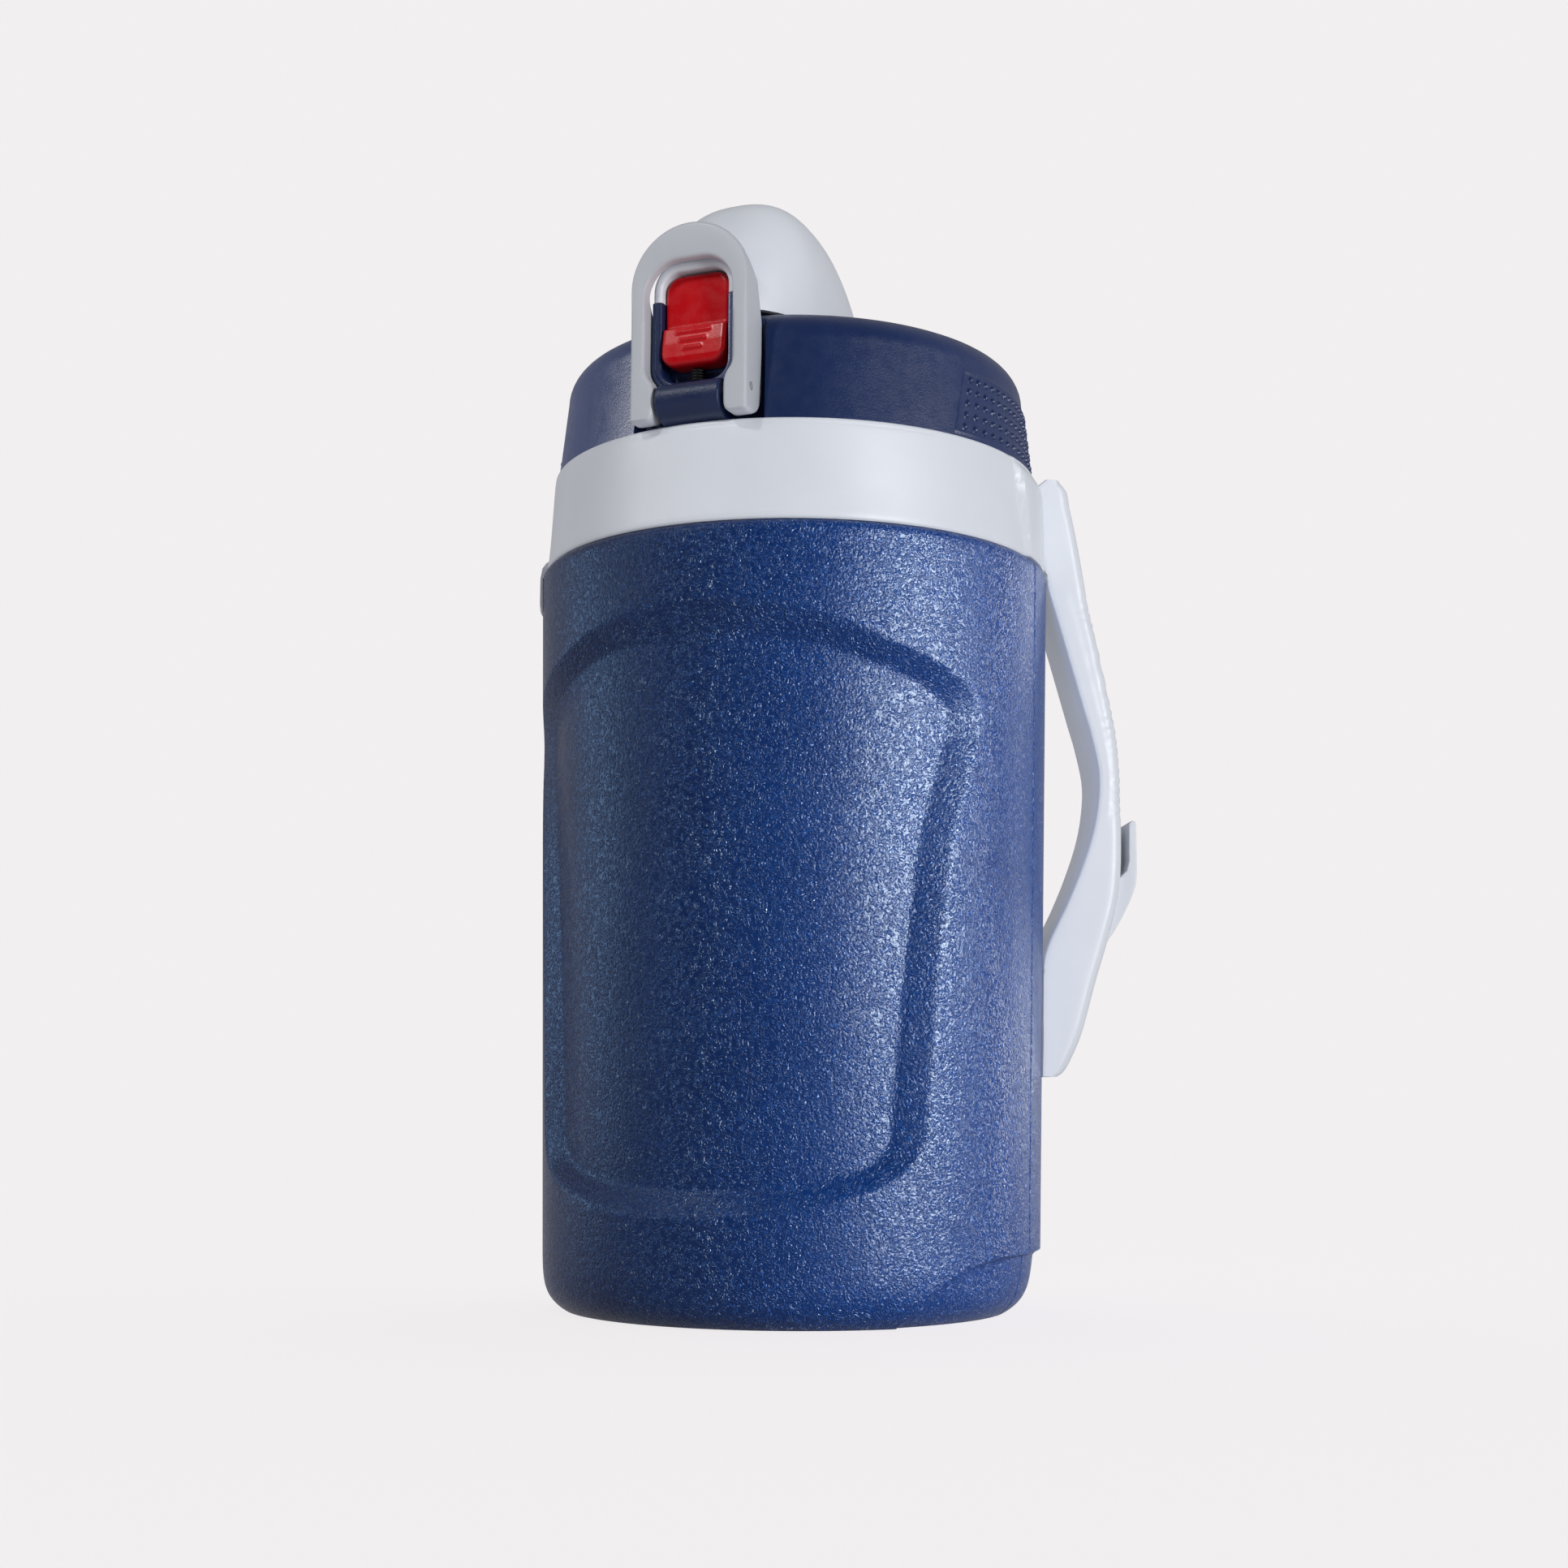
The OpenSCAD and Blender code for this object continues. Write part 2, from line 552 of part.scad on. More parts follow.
// A plate outline with its lower and upper corners rounded
module plate_outline(half, low, top, r_low, r_high) {
    right = concat(arc(half - r_low, low + r_low, r_low, -90, 0),
                   arc(half - r_high, top - r_high, r_high, 0, 90));
    polygon(concat(right, flip(right)));
}
button_back = 64.2;
button_ledge = 261.5;
button_foot_r = 5.5;
button_head_r = 4.6;
module release_button() color(button_red) on_lid() intersection() {
    across(button_w) polygon([
        [button_back, button_low + 1.6], [button_back, button_top], [67, button_top],
        [66.8, button_ledge], [68.6, button_ledge - 1.6], [69.6, 256], [70.2, button_low + 2],
        [69.4, button_low], [66.2, button_low]]);
    forward(bay_back, far) plate_outline(button_w / 2, button_low, button_top, button_foot_r, button_head_r);
}

outer_shell();
foam_insulation();
inner_liner();
collar();
base_plugs();
handle_pin();
side_handle();
lid_gasket();
lid_shell();
hinge_ears();
lid_liner();
lid_foam();
latch_housing();
bail_pin();
button_spring();
spout();
spout_o_ring();
vent_valve();
cover_pin();
cover_spring();
spout_cover();
mouth_seal();
lock_bail();
release_button();
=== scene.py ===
"""Looks for the insulated water jug: finer meshes and moulded-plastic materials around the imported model.

Meshes are worked out in millimetres in the frame's own axes and turned into metres by make().
"""

import json
import math

import bmesh
import bpy
import numpy as np
from mathutils import Matrix, Vector


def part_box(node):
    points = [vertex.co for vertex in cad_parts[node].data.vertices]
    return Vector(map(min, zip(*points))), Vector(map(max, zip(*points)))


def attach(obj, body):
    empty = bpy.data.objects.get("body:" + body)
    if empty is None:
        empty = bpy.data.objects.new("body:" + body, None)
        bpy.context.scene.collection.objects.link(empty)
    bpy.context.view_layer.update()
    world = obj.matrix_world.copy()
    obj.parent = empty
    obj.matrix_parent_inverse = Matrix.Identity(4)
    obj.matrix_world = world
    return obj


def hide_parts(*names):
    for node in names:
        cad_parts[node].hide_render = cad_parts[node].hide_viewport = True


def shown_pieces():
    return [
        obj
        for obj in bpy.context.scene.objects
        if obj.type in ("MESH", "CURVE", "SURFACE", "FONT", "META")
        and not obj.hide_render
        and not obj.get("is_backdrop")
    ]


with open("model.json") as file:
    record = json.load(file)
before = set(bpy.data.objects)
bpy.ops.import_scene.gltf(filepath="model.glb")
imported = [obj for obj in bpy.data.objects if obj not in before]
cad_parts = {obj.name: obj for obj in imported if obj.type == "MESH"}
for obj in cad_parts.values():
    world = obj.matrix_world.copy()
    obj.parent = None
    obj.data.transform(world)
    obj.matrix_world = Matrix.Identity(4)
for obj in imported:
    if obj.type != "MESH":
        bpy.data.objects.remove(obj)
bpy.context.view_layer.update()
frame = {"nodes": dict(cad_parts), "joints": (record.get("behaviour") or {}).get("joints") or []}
MM = 0.001
joints = {j["name"]: j for j in frame["joints"]}

# ---- Places, from the frame --------------------------------------------------------------------
ACROSS = np.array(joints["bail_swing"]["axis"])
FORWARD = np.cross(ACROSS, [0, 0, 1])
FRONT = math.atan2(FORWARD[1], FORWARD[0])


def box(node):
    """Lowest and highest corner of a CAD node, in millimetres."""
    lo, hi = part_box(node)
    return np.array(lo) / MM, np.array(hi) / MM


def pivot(joint):
    """A joint's place, in millimetres."""
    return np.array(joints[joint]["pos_m"]) / MM


SHELL_H = box("outer_shell")[1][2]
SHELL_R = (68.6, 72.7)  # at the foot and at the top edge
COLLAR_TOP = box("collar")[1][2]
LID_LOW, LID_TOP = box("lid_shell")[0][2], 265.5
COVER_TOP = box("spout_cover")[1][2]
HANDLE_PIVOT = pivot("handle_swing")
BAIL_AT, BAIL_Z = float(pivot("bail_swing") @ FORWARD), pivot("bail_swing")[2]
HINGE_AT, HINGE_Z = float(pivot("cover_flip") @ FORWARD), pivot("cover_flip")[2]


def plain_radius(z):
    """The outer shell's radius without its panels and seams."""
    return SHELL_R[0] + (SHELL_R[1] - SHELL_R[0]) * z / SHELL_H


def turned(azimuth, centre):
    """Azimuth seen from the direction centre, from -180 to 180 degrees."""
    return (azimuth - centre + 180) % 360 - 180


# ---- Mesh helpers ------------------------------------------------------------------------------
WELD = 1e-6  # metres


def in_lid(x, rho, z):
    """Points from distance across the latch, distance forward and height."""
    x, rho, z = np.broadcast_arrays(np.asarray(x, float), np.asarray(rho, float), np.asarray(z, float))
    return x[..., None] * ACROSS + rho[..., None] * FORWARD + z[..., None] * np.array([0, 0, 1.0])


def round_axis(azimuth, r, z):
    """Points from azimuth measured from the latch towards the handle, radius and height."""
    a = FRONT + np.radians(azimuth)
    return np.stack(np.broadcast_arrays(r * np.cos(a), r * np.sin(a), z), -1)


class Builder:
    """Collects grids and polygons of points, then makes one object of them."""

    def __init__(self):
        self.points, self.faces, self.count = [], [], 0

    def grid(self, p, wrap_cols=False, wrap_rows=False):
        rows, cols = p.shape[:2]
        r, c = np.arange(rows - (not wrap_rows)), np.arange(cols - (not wrap_cols))
        i, j = np.meshgrid(r, c, indexing="ij")
        i2, j2 = (i + 1) % rows, (j + 1) % cols
        quads = np.stack([i * cols + j, i * cols + j2, i2 * cols + j2, i2 * cols + j], -1)
        self.faces += (quads.reshape(-1, 4) + self.count).tolist()
        self.points.append(p.reshape(-1, 3))
        self.count += rows * cols
        return self

    def loft(self, p):
        """Closed rings of points, one after another, with a flat cap at each end."""
        first = self.count
        self.grid(p, wrap_cols=True)
        rows, cols = p.shape[:2]
        self.faces.append(list(range(first + cols - 1, first - 1, -1)))
        self.faces.append(list(range(first + (rows - 1) * cols, first + rows * cols)))
        return self


def make(name, builder, body, material, replaces=(), sharp=40, bevel=0):
    """Makes one named piece that rides on a body and stands in for the CAD nodes in replaces."""
    mesh = bpy.data.meshes.new(name)
    mesh.from_pydata((np.concatenate(builder.points) * MM).tolist(), [], builder.faces)
    bm = bmesh.new()
    bm.from_mesh(mesh)
    bmesh.ops.remove_doubles(bm, verts=bm.verts, dist=WELD)
    bmesh.ops.recalc_face_normals(bm, faces=bm.faces)
    bm.to_mesh(mesh)
    bm.free()
    o = bpy.data.objects.new(name, mesh)
    bpy.context.scene.collection.objects.link(o)
    dress(o, material, sharp, bevel)
    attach(o, body)
    if replaces:
        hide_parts(*replaces)
    return o


def dress(o, material, sharp, bevel=0):
    """Gives a piece its material, smooth shading with sharp edges and, if asked, bevelled edges."""
    o.data.materials.clear()
    o.data.materials.append(material)
    if bevel:
        m = o.modifiers.new("edge", "BEVEL")
        m.width, m.segments, m.limit_method = bevel * MM, 3, "ANGLE"
        m.angle_limit = math.radians(35)
        m.harden_normals = True
    o.data.polygons.foreach_set("use_smooth", [True] * len(o.data.polygons))
    o.data.set_sharp_from_angle(angle=math.radians(sharp))


def prism(outline, place, low, high):
    """Two rings of one outline. place(u, v, w) gives points; w is low for one ring and high for the other."""
    u, v = np.array(outline, float).T
    return np.stack([place(u, v, np.full(len(u), w)) for w in (low, high)])


def sideways(outline, low, high):
    """A Builder with an outline in the lid's middle plane, extruded across the latch."""
    return Builder().loft(prism(outline, lambda u, v, w: in_lid(w, u, v), low, high))


def along_y(outline, half):
    """An outline in x and z, extruded by half to each side."""
    return prism(outline, lambda u, v, w: np.stack([u, w, v], 1), -half, half)


def arc(cx, cy, r, a0, a1, n):
    a = np.radians(np.linspace(a0, a1, n + 1))
    return np.stack([cx + r * np.cos(a), cy + r * np.sin(a)], 1)


def spline(points, n=12):
    """A smooth curve through the points (Catmull-Rom), n steps for each stretch."""
    p = np.array(points, float)
    p = np.vstack([2 * p[0] - p[1], p, 2 * p[-1] - p[-2]])
    t = np.linspace(0, 1, n, endpoint=False)[:, None]
    out = [0.5 * (2 * b + (c - a) * t + (2 * a - 5 * b + 4 * c - d) * t**2 + (3 * b - a - 3 * c + d) * t**3)
           for a, b, c, d in zip(p, p[1:], p[2:], p[3:])]
    return np.vstack(out + [p[-2:-1]])


def ease(t, e=0.22):
    """From 0 to 1 along a straight ramp whose two ends are rounded over the share e."""
    t = np.clip(t, 0, 1)
    k = 1 / (2 * e * (1 - e))
    mid = (t - e / 2) / (1 - e)
    return np.where(t < e, k * t * t, np.where(t > 1 - e, 1 - k * (1 - t) ** 2, mid))


def smooth(lo, hi, x):
    t = np.clip((x - lo) / (hi - lo), 0, 1)
    return t * t * (3 - 2 * t)


def steps(*stops):
    """Values from the first stop to the last: (start, step), ..., end."""
    out = []
    for (a, d), b in zip(stops, [s[0] if isinstance(s, tuple) else s for s in stops[1:]]):
        out.append(np.linspace(a, b, max(1, round((b - a) / d)), endpoint=False))
    return np.concatenate(out + [[stops[-1]]])


def outline_distance(points, px, py):
    """Distance from each (px, py) to a closed outline, positive inside it."""
    best = np.full(px.shape, 1e9)
    inside = np.zeros(px.shape, bool)
    for (ax, ay), (bx, by) in zip(points, np.roll(points, -1, 0)):
        dx, dy = bx - ax, by - ay
        t = np.clip(((px - ax) * dx + (py - ay) * dy) / max(dx * dx + dy * dy, 1e-12), 0, 1)
        best = np.minimum(best, np.hypot(px - ax - t * dx, py - ay - t * dy))
        crosses = (ay > py) != (by > py)
        with np.errstate(divide="ignore", invalid="ignore"):
            inside ^= crosses & (px < ax + (py - ay) * dx / dy)
    return np.where(inside, best, -best)


# ---- Materials ---------------------------------------------------------------------------------
def add_node(tree, kind, inputs=(), **props):
    """A new shader node. Inputs are sockets, which get linked, or constants."""
    n = tree.nodes.new(kind)
    for k, v in props.items():
        setattr(n, k, v)
    for k, v in dict(inputs).items():
        if isinstance(v, bpy.types.NodeSocket):
            tree.links.new(v, n.inputs[k])
        else:
            n.inputs[k].default_value = v
    return n


class Nodes:
    """One material's shader nodes."""

    def __init__(self, name):
        self.material = bpy.data.materials.new(name)
        self.material.use_nodes = True
        self.tree = self.material.node_tree
        self.shader = self.tree.nodes["Principled BSDF"]
        self.place = self.add("ShaderNodeTexCoord").outputs["Object"]

    def add(self, kind, inputs=(), **props):
        return add_node(self.tree, kind, inputs, **props)

    def noise(self, size_mm, detail=2.0, rough=0.5, distortion=0.0):
        n = self.add("ShaderNodeTexNoise", {"Vector": self.place, "Scale": 1 / (size_mm * MM),
                                            "Detail": detail, "Roughness": rough,
                                            "Distortion": distortion})
        return n.outputs["Fac"]

    def math(self, op, a, b=0.0, c=0.0):
        return self.add("ShaderNodeMath", {0: a, 1: b, 2: c}, operation=op).outputs[0]

    def span(self, x, lo, hi, to_lo=0.0, to_hi=1.0):
        return self.add("ShaderNodeMapRange", {"Value": x, "From Min": lo, "From Max": hi,
                                               "To Min": to_lo, "To Max": to_hi},
                        interpolation_type="SMOOTHSTEP").outputs["Result"]

    def mix(self, fac, a, b):
        n = self.add("ShaderNodeMix", data_type="RGBA")
        for key, v in (("Factor", fac), ("A", a), ("B", b)):
            socket = [s for s in n.inputs if s.name == key and
                      (s.type == "VALUE" if key == "Factor" else s.type == "RGBA")][0]
            if isinstance(v, bpy.types.NodeSocket):
                self.tree.links.new(v, socket)
            else:
                socket.default_value = v
        return [s for s in n.outputs if s.type == "RGBA"][0]

    def bump(self, height, depth_mm, strength=1.0):
        return self.add("ShaderNodeBump", {"Height": height, "Distance": depth_mm * MM,
                                           "Strength": strength}).outputs["Normal"]

    def link(self, **sockets):
        for name, value in sockets.items():
            target = self.shader.inputs[name.replace("_", " ")]
            if isinstance(value, bpy.types.NodeSocket):
                self.tree.links.new(value, target)
            else:
                target.default_value = value
        return self.material


def rgb(r, g, b):
    """A linear colour from the 0 to 255 numbers that a screen shows."""
    return tuple(((c / 255 + 0.055) / 1.055) ** 2.4 if c > 10 else c / 255 / 12.92
                 for c in (r, g, b)) + (1.0,)


def moulded(name, colour, rough, grain_mm, grain_depth, tint=0.06, **extra):
    """Injection-moulded plastic: faint colour drift, fine spark-eroded grain, small roughness changes."""
    n = Nodes(name)
    drift = n.noise(24, 3, 0.6)
    dark = tuple(c * (1 - tint) for c in colour[:3]) + (1.0,)
    light = tuple(min(1, c * (1 + tint)) for c in colour[:3]) + (1.0,)
    fine = n.noise(grain_mm, 3, 0.65)
    return n.link(Base_Color=n.mix(n.span(drift, 0.3, 0.7), dark, light),
                  Roughness=n.span(n.noise(3.5, 4, 0.6), 0.25, 0.75, rough - 0.05, rough + 0.06),
                  Normal=n.bump(fine, grain_depth), **extra)


def pebble_blue():
    """Blow-moulded polyethylene with a leather-like grain of short worm-shaped ridges; the ridges carry a
    painted sheen of lighter blue.
    """
    n = Nodes("shell_blue_grain")
    field = n.noise(2.1, 2.0, 0.55, 0.5)
    worms = n.span(n.math("PINGPONG", n.math("MULTIPLY", field, 7.0), 0.5), 0.12, 0.42)
    broken = n.span(n.noise(1.5, 2, 0.5), 0.36, 0.56)
    ridge = n.math("MULTIPLY", worms, broken)
    body = n.math("ADD", n.math("MULTIPLY", ridge, 0.6), n.math("MULTIPLY", n.noise(0.75, 2, 0.6), 0.6))
    drift = n.span(n.noise(30, 3, 0.6), 0.3, 0.7)
    base = n.mix(drift, rgb(3, 27, 70), rgb(4, 31, 76))
    # Painted sheen: the grain's ridges are painted a lighter blue where they would catch the light.
    base = n.mix(n.math("MULTIPLY", ridge, 0.4), base, rgb(24, 60, 118))
    return n.link(Base_Color=base, Roughness=n.span(ridge, 0.0, 1.0, 0.24, 0.12),
                  Normal=n.bump(body, 0.34), Specular_IOR_Level=0.38,
                  Specular_Tint=(0.72, 0.86, 1.0, 1.0))


shell_blue = pebble_blue()
lid_navy = moulded("lid_navy_satin", rgb(24, 42, 84), 0.34, 0.6, 0.08)
trim_white = moulded("trim_white_satin", rgb(212, 217, 226), 0.38, 0.7, 0.01, 0.015)
button_red = moulded("button_red_gloss", rgb(178, 2, 14), 0.26, 0.45, 0.03, 0.05, Specular_IOR_Level=0.35)
liner_grey = moulded("liner_food_grade", rgb(212, 215, 219), 0.3, 0.9, 0.006, 0.02)
spout_grey = moulded("spout_food_grade", rgb(206, 210, 216), 0.3, 0.8, 0.006, 0.02)
silicone = moulded("silicone_seal", rgb(96, 98, 103), 0.55, 0.35, 0.01, 0.08)


def foam():
    """Expanded foam with closed cells."""
    n = Nodes("expanded_foam")
    cells = n.add("ShaderNodeTexVoronoi", {"Vector": n.place, "Scale": 1 / (1.4 * MM)}).outputs["Distance"]
    return n.link(Base_Color=n.mix(n.span(cells, 0.1, 0.7), rgb(226, 208, 150), rgb(244, 230, 184)),
                  Roughness=0.85, Normal=n.bump(cells, 0.2, 0.8))


def wire(name, drift, dark, light, metallic, rough):
    """Steel with drifting colour and fine drawing marks."""
    n = Nodes(name)
    return n.link(Base_Color=n.mix(n.noise(*drift), dark, light), Metallic=metallic,
                  Roughness=n.span(n.noise(0.6, 3), 0.3, 0.7, *rough), Normal=n.bump(n.noise(0.3, 2), 0.004))


pu_foam = foam()
steel = wire("drawn_steel", (2, 4, 0.7), rgb(150, 150, 154), rgb(196, 196, 198), 1.0, (0.22, 0.4))
dark_steel = wire("blackened_spring_steel", (1.5, 3, 0.6), rgb(14, 14, 17), rgb(30, 30, 34), 0.6, (0.4, 0.55))

# ---- Outer shell -------------------------------------------------------------------------------
PANEL_DEPTH, PANEL_EASE = 3.8, 0.12
PANEL_REACH, PANEL_LOW, PANEL_HIGH = 72, 20, 192  # no panel beyond these: degrees from its middle, heights
ARC = math.radians(70)  # millimetres along the wall for each degree
SHELL_WALL = 2.0
PARTING = 90  # degrees from the latch to the mould's parting line
SEAM_HALF, SEAM_DEPTH = 0.45, 0.28
SCOOP_AT, SCOOP_HALF, SCOOP_H = 92, 44, 17
SCOOP_DEPTH, SCOOP_LEAN = 2.0, 1.4
SHELL_TOP_R = 2.6
BORE_R, INSIDE_LOW = 60.0, 3
BASE_RING, BASE_RING_Z = (30, 52), 1.2


def mirrored(half):
    """A closed outline in arc length and height from its right half, given in degrees and height."""
    right = spline(half) * [ARC, 1]
    return np.vstack([right, right[-2:0:-1] * [-1, 1]])


panel_outer = mirrored([(0, 27), (18, 28.4), (33, 31.8), (46, 37.4), (52.6, 45.5), (54, 58), (56, 90),
                        (59.2, 122), (64, 143), (66.8, 153.5), (65.9, 161.5), (59, 168.6), (42, 175.8),
                        (24, 182.4), (0, 186.5)])
panel_inner = mirrored([(0, 34.6), (16, 35.4), (30, 37.3), (40, 40.6), (44.4, 46.5), (45.3, 58), (47.8, 90),
                        (51.2, 122), (55.8, 143), (58.4, 152.5), (57.8, 158.4), (53, 163.4), (40, 169),
                        (23, 174.1), (0, 176)])


def panel_recess(azimuth, z):
    """Share of the panel's depth at each place: 0 outside it, 1 on its floor."""
    share = np.zeros(np.broadcast(azimuth, z).shape)
    for centre in (0, 180):
        a = turned(azimuth, centre)
        x, y = np.broadcast_arrays(a * ARC, z)
        near = np.broadcast_to((np.abs(a) < PANEL_REACH) & (y > PANEL_LOW) & (y < PANEL_HIGH), share.shape)
        outer = outline_distance(panel_outer, x[near], y[near])
        inner = outline_distance(panel_inner, x[near], y[near])
        t = np.where(inner > 0, 1, np.where(outer < 0, 0, outer / np.maximum(outer - inner, 1e-9)))
        share[near] = np.maximum(share[near], ease(t, PANEL_EASE))
    return share


def shell_radius(azimuth, z):
    """The outer shell's radius with its two panels and two seams."""
    r = plain_radius(z) - PANEL_DEPTH * panel_recess(azimuth, z)
    for side in (PARTING, PARTING + 180):
        r = r - SEAM_DEPTH * np.exp(-((turned(azimuth, side) * ARC / SEAM_HALF) ** 2))
    return r


def base_round(z):
    """How far the lower corner's rounding pulls the wall in, at height z."""
    low = np.clip(1 - z / 15.5, 0, 1)
    return 1.2 * low**2 + 4.7 * low**5


def build_shell():
    near_seam = [side + np.linspace(-2.2, 2.2, 45) for side in (PARTING, PARTING + 180)]
    azimuth = np.unique(np.round(np.concatenate([np.arange(-76, 284, 0.8)] + near_seam), 4))
    z = steps((0.0, 0.35), (4, 0.6), (16, 0.9), SHELL_H - SHELL_TOP_R)
    wall = shell_radius(azimuth[None, :], z[:, None]) - base_round(z)[:, None]
    a = turned(azimuth[None, :], SCOOP_AT)
    edge = SCOOP_H * (1 - np.clip(np.abs(a) / SCOOP_HALF, 0, 1) ** 4) - z[:, None]
    wall = wall - smooth(0, 1.1, edge) * (SCOOP_DEPTH + SCOOP_LEAN * np.clip(edge / SCOOP_H, 0, 1))
    outer = round_axis(azimuth[None, :], wall, z[:, None])
    lip = arc(0, 0, SHELL_TOP_R, 0, 90, 6)
    rim_r = wall[-1][None, :] - SHELL_TOP_R + lip[:, :1]
    rim = round_axis(azimuth[None, :], rim_r, SHELL_H - SHELL_TOP_R + lip[:, 1:])
    inside_z = np.linspace(SHELL_H, INSIDE_LOW, 60)[:, None]
    bore = BORE_R + 8 * smooth(0, 12, SHELL_H - inside_z) - 6 * smooth(20, INSIDE_LOW, inside_z)
    inner_r = np.minimum(shell_radius(azimuth[None, :], inside_z) - SHELL_WALL, bore)
    inner = round_axis(azimuth[None, :], inner_r, inside_z)
    base = [(0.01, INSIDE_LOW), (0.01, 0), (BASE_RING[0], 0), (BASE_RING[0], BASE_RING_Z),
            (BASE_RING[1], BASE_RING_Z), (BASE_RING[1], 0)]
    under = np.stack([round_axis(azimuth, np.full(azimuth.shape, float(r)), float(h)) for r, h in base])
    rings = np.concatenate([under, outer, rim[1:], inner])
    return Builder().grid(rings, wrap_cols=True, wrap_rows=True)


shell = make("shell_body", build_shell(), "jug", shell_blue, ["outer_shell"], sharp=50)

# ---- Collar ------------------------------------------------------------------------------------
HANDLE_AZ = 116  # degrees from the latch to the handle
SLOT_HALF, SLOT_FACE = 14.6, 66.6  # the handle's slot: half width and distance of its flat from the axis
COLLAR_R, COLLAR_SKIRT_R = 70, 66  # about the outer wall, and between it and the neck
SLOT_CORNER = math.degrees(math.asin(SLOT_HALF / COLLAR_R))
LUG_HALF, LUG_R = 6.4, 4.2
FAIRING_R = 72.3
TAB_AZ, TAB_BACK = 180, 70.0


def slotted(azimuth, r):
    """Radius cut back to the flat of the handle's slot."""
    a = turned(azimuth, HANDLE_AZ)
    return np.where(np.abs(a) < SLOT_CORNER, np.minimum(r, SLOT_FACE / np.cos(np.radians(a))), r)


def build_collar():
    fine = [HANDLE_AZ + s * SLOT_CORNER + np.linspace(-0.6, 0.6, 9) for s in (-1, 1)]
    ends = [HANDLE_AZ + s * 36 + np.linspace(-3.5, 3.5, 24) for s in (-1, 1)]
    azimuth = np.unique(np.round(np.concatenate([np.arange(0, 360, 1.2)] + fine + ends), 4))
    low, high = SHELL_H + 0.05, COLLAR_TOP
    profile = np.vstack([
        [(55.3, low - 6), (62.6, low - 6), (62.6, low), (70.9, low), (71.2, low + 0.3)],
        spline([(71.3, low + 0.9), (70.6, low + 9), (69.75, high - 4), (69.5, high - 1.6)], 6),
        arc(68.3, high - 1.2, 1.2, 0, 90, 6), [(53.9, high), (53.3, high - 0.5), (53.3, low - 6)]])
    r = np.repeat(profile[:, :1], len(azimuth), 1)
    z = profile[:, 1:] + 0 * r
    a = np.abs(turned(azimuth, HANDLE_AZ))[None, :]
    slant = 27.5 + 5 * (z - low) / (high - low)
    fairing = ease((slant + 1.3 - a) / 1.3) * smooth(low - 0.01, low + 0.5, z)
    fairing = fairing * (1 - 0.85 * smooth(high - 5, high - 0.8, z))
    r = np.where(r > COLLAR_SKIRT_R, r + fairing * (FAIRING_R - np.maximum(r, 70.2)), r)
    r = slotted(azimuth[None, :], r)
    b = Builder().grid(round_axis(azimuth[None, :], r, z), wrap_cols=True, wrap_rows=True)
    px, pz = HANDLE_PIVOT[0], HANDLE_PIVOT[2]
    lug = np.vstack([arc(px, pz, LUG_R, -53, 122, 14), [(SLOT_FACE - 2, pz - 0.4), (SLOT_FACE - 2, 217)]])
    b.loft(along_y(lug, LUG_HALF))
    tab_z = (195.2, 195.8, 197.5, 204, 207, 208.6, 209.4)
    tab_r = (72.9, 73.3, 73.4, 73.4, 72.9, 71.8, 70.5)
    tab_a = np.radians(TAB_AZ + np.linspace(-5.5, 5.5, 9))
    rows = []
    for h, front in zip(tab_z, tab_r):
        hind = max(TAB_BACK, plain_radius(h) + 0.1) if h < SHELL_H else TAB_BACK
        rows.append([(r * math.cos(t), r * math.sin(t), h)
                     for r, turn in ((front, tab_a), (hind, tab_a[::-1])) for t in turn])
    return b.loft(np.array(rows))


collar = make("collar_ring", build_collar(), "jug", trim_white, ["collar"], sharp=38)

# ---- Lid ---------------------------------------------------------------------------------------
LID_R_LOW, LID_R_HIGH, LID_ROUND, LID_WALL = 68.8, 66.1, 9.5, 2.2
BAY_HALF, BAY_BACK, BAY_LOW = 18.6, 61.5, 233.2
BAY_CORNER = math.degrees(math.asin(BAY_HALF / 67.0))
PAD_HALF, PAD_LOW, PAD_HIGH = (27.8, 23.2), 235.2, 253.4  # half widths in degrees, at the foot and head
PAD_ARC, PAD_MARGIN = math.radians(67), 3.1
BORDER_H, BORDER_HALF = 0.22, 0.35
DOT_PITCH, DOT_R, DOT_H, DOT_COLUMNS, DOT_ROWS = 3.6, 0.95, 0.75, 15, 5


def lid_profile(inset, n):
    """The lid's section from its lower edge over its rounded shoulder to the middle of the top."""
    low, foot, shoulder_z = LID_LOW, LID_R_LOW - inset, LID_TOP - LID_ROUND
    wall = np.array([(foot - 0.35 * (not inset), low), (foot, low + 0.5)])
    z = np.linspace(low + 0.6, shoulder_z - 0.3, n)
    side = np.stack([foot + (LID_R_HIGH - LID_R_LOW) * (z - low) / (shoulder_z - low), z], 1)
    over = arc(LID_R_HIGH - LID_ROUND, shoulder_z, LID_ROUND - inset, 0, 90, 12)
    return np.vstack([wall, side, over, [(40, LID_TOP - inset), (0.01, LID_TOP - inset)]])


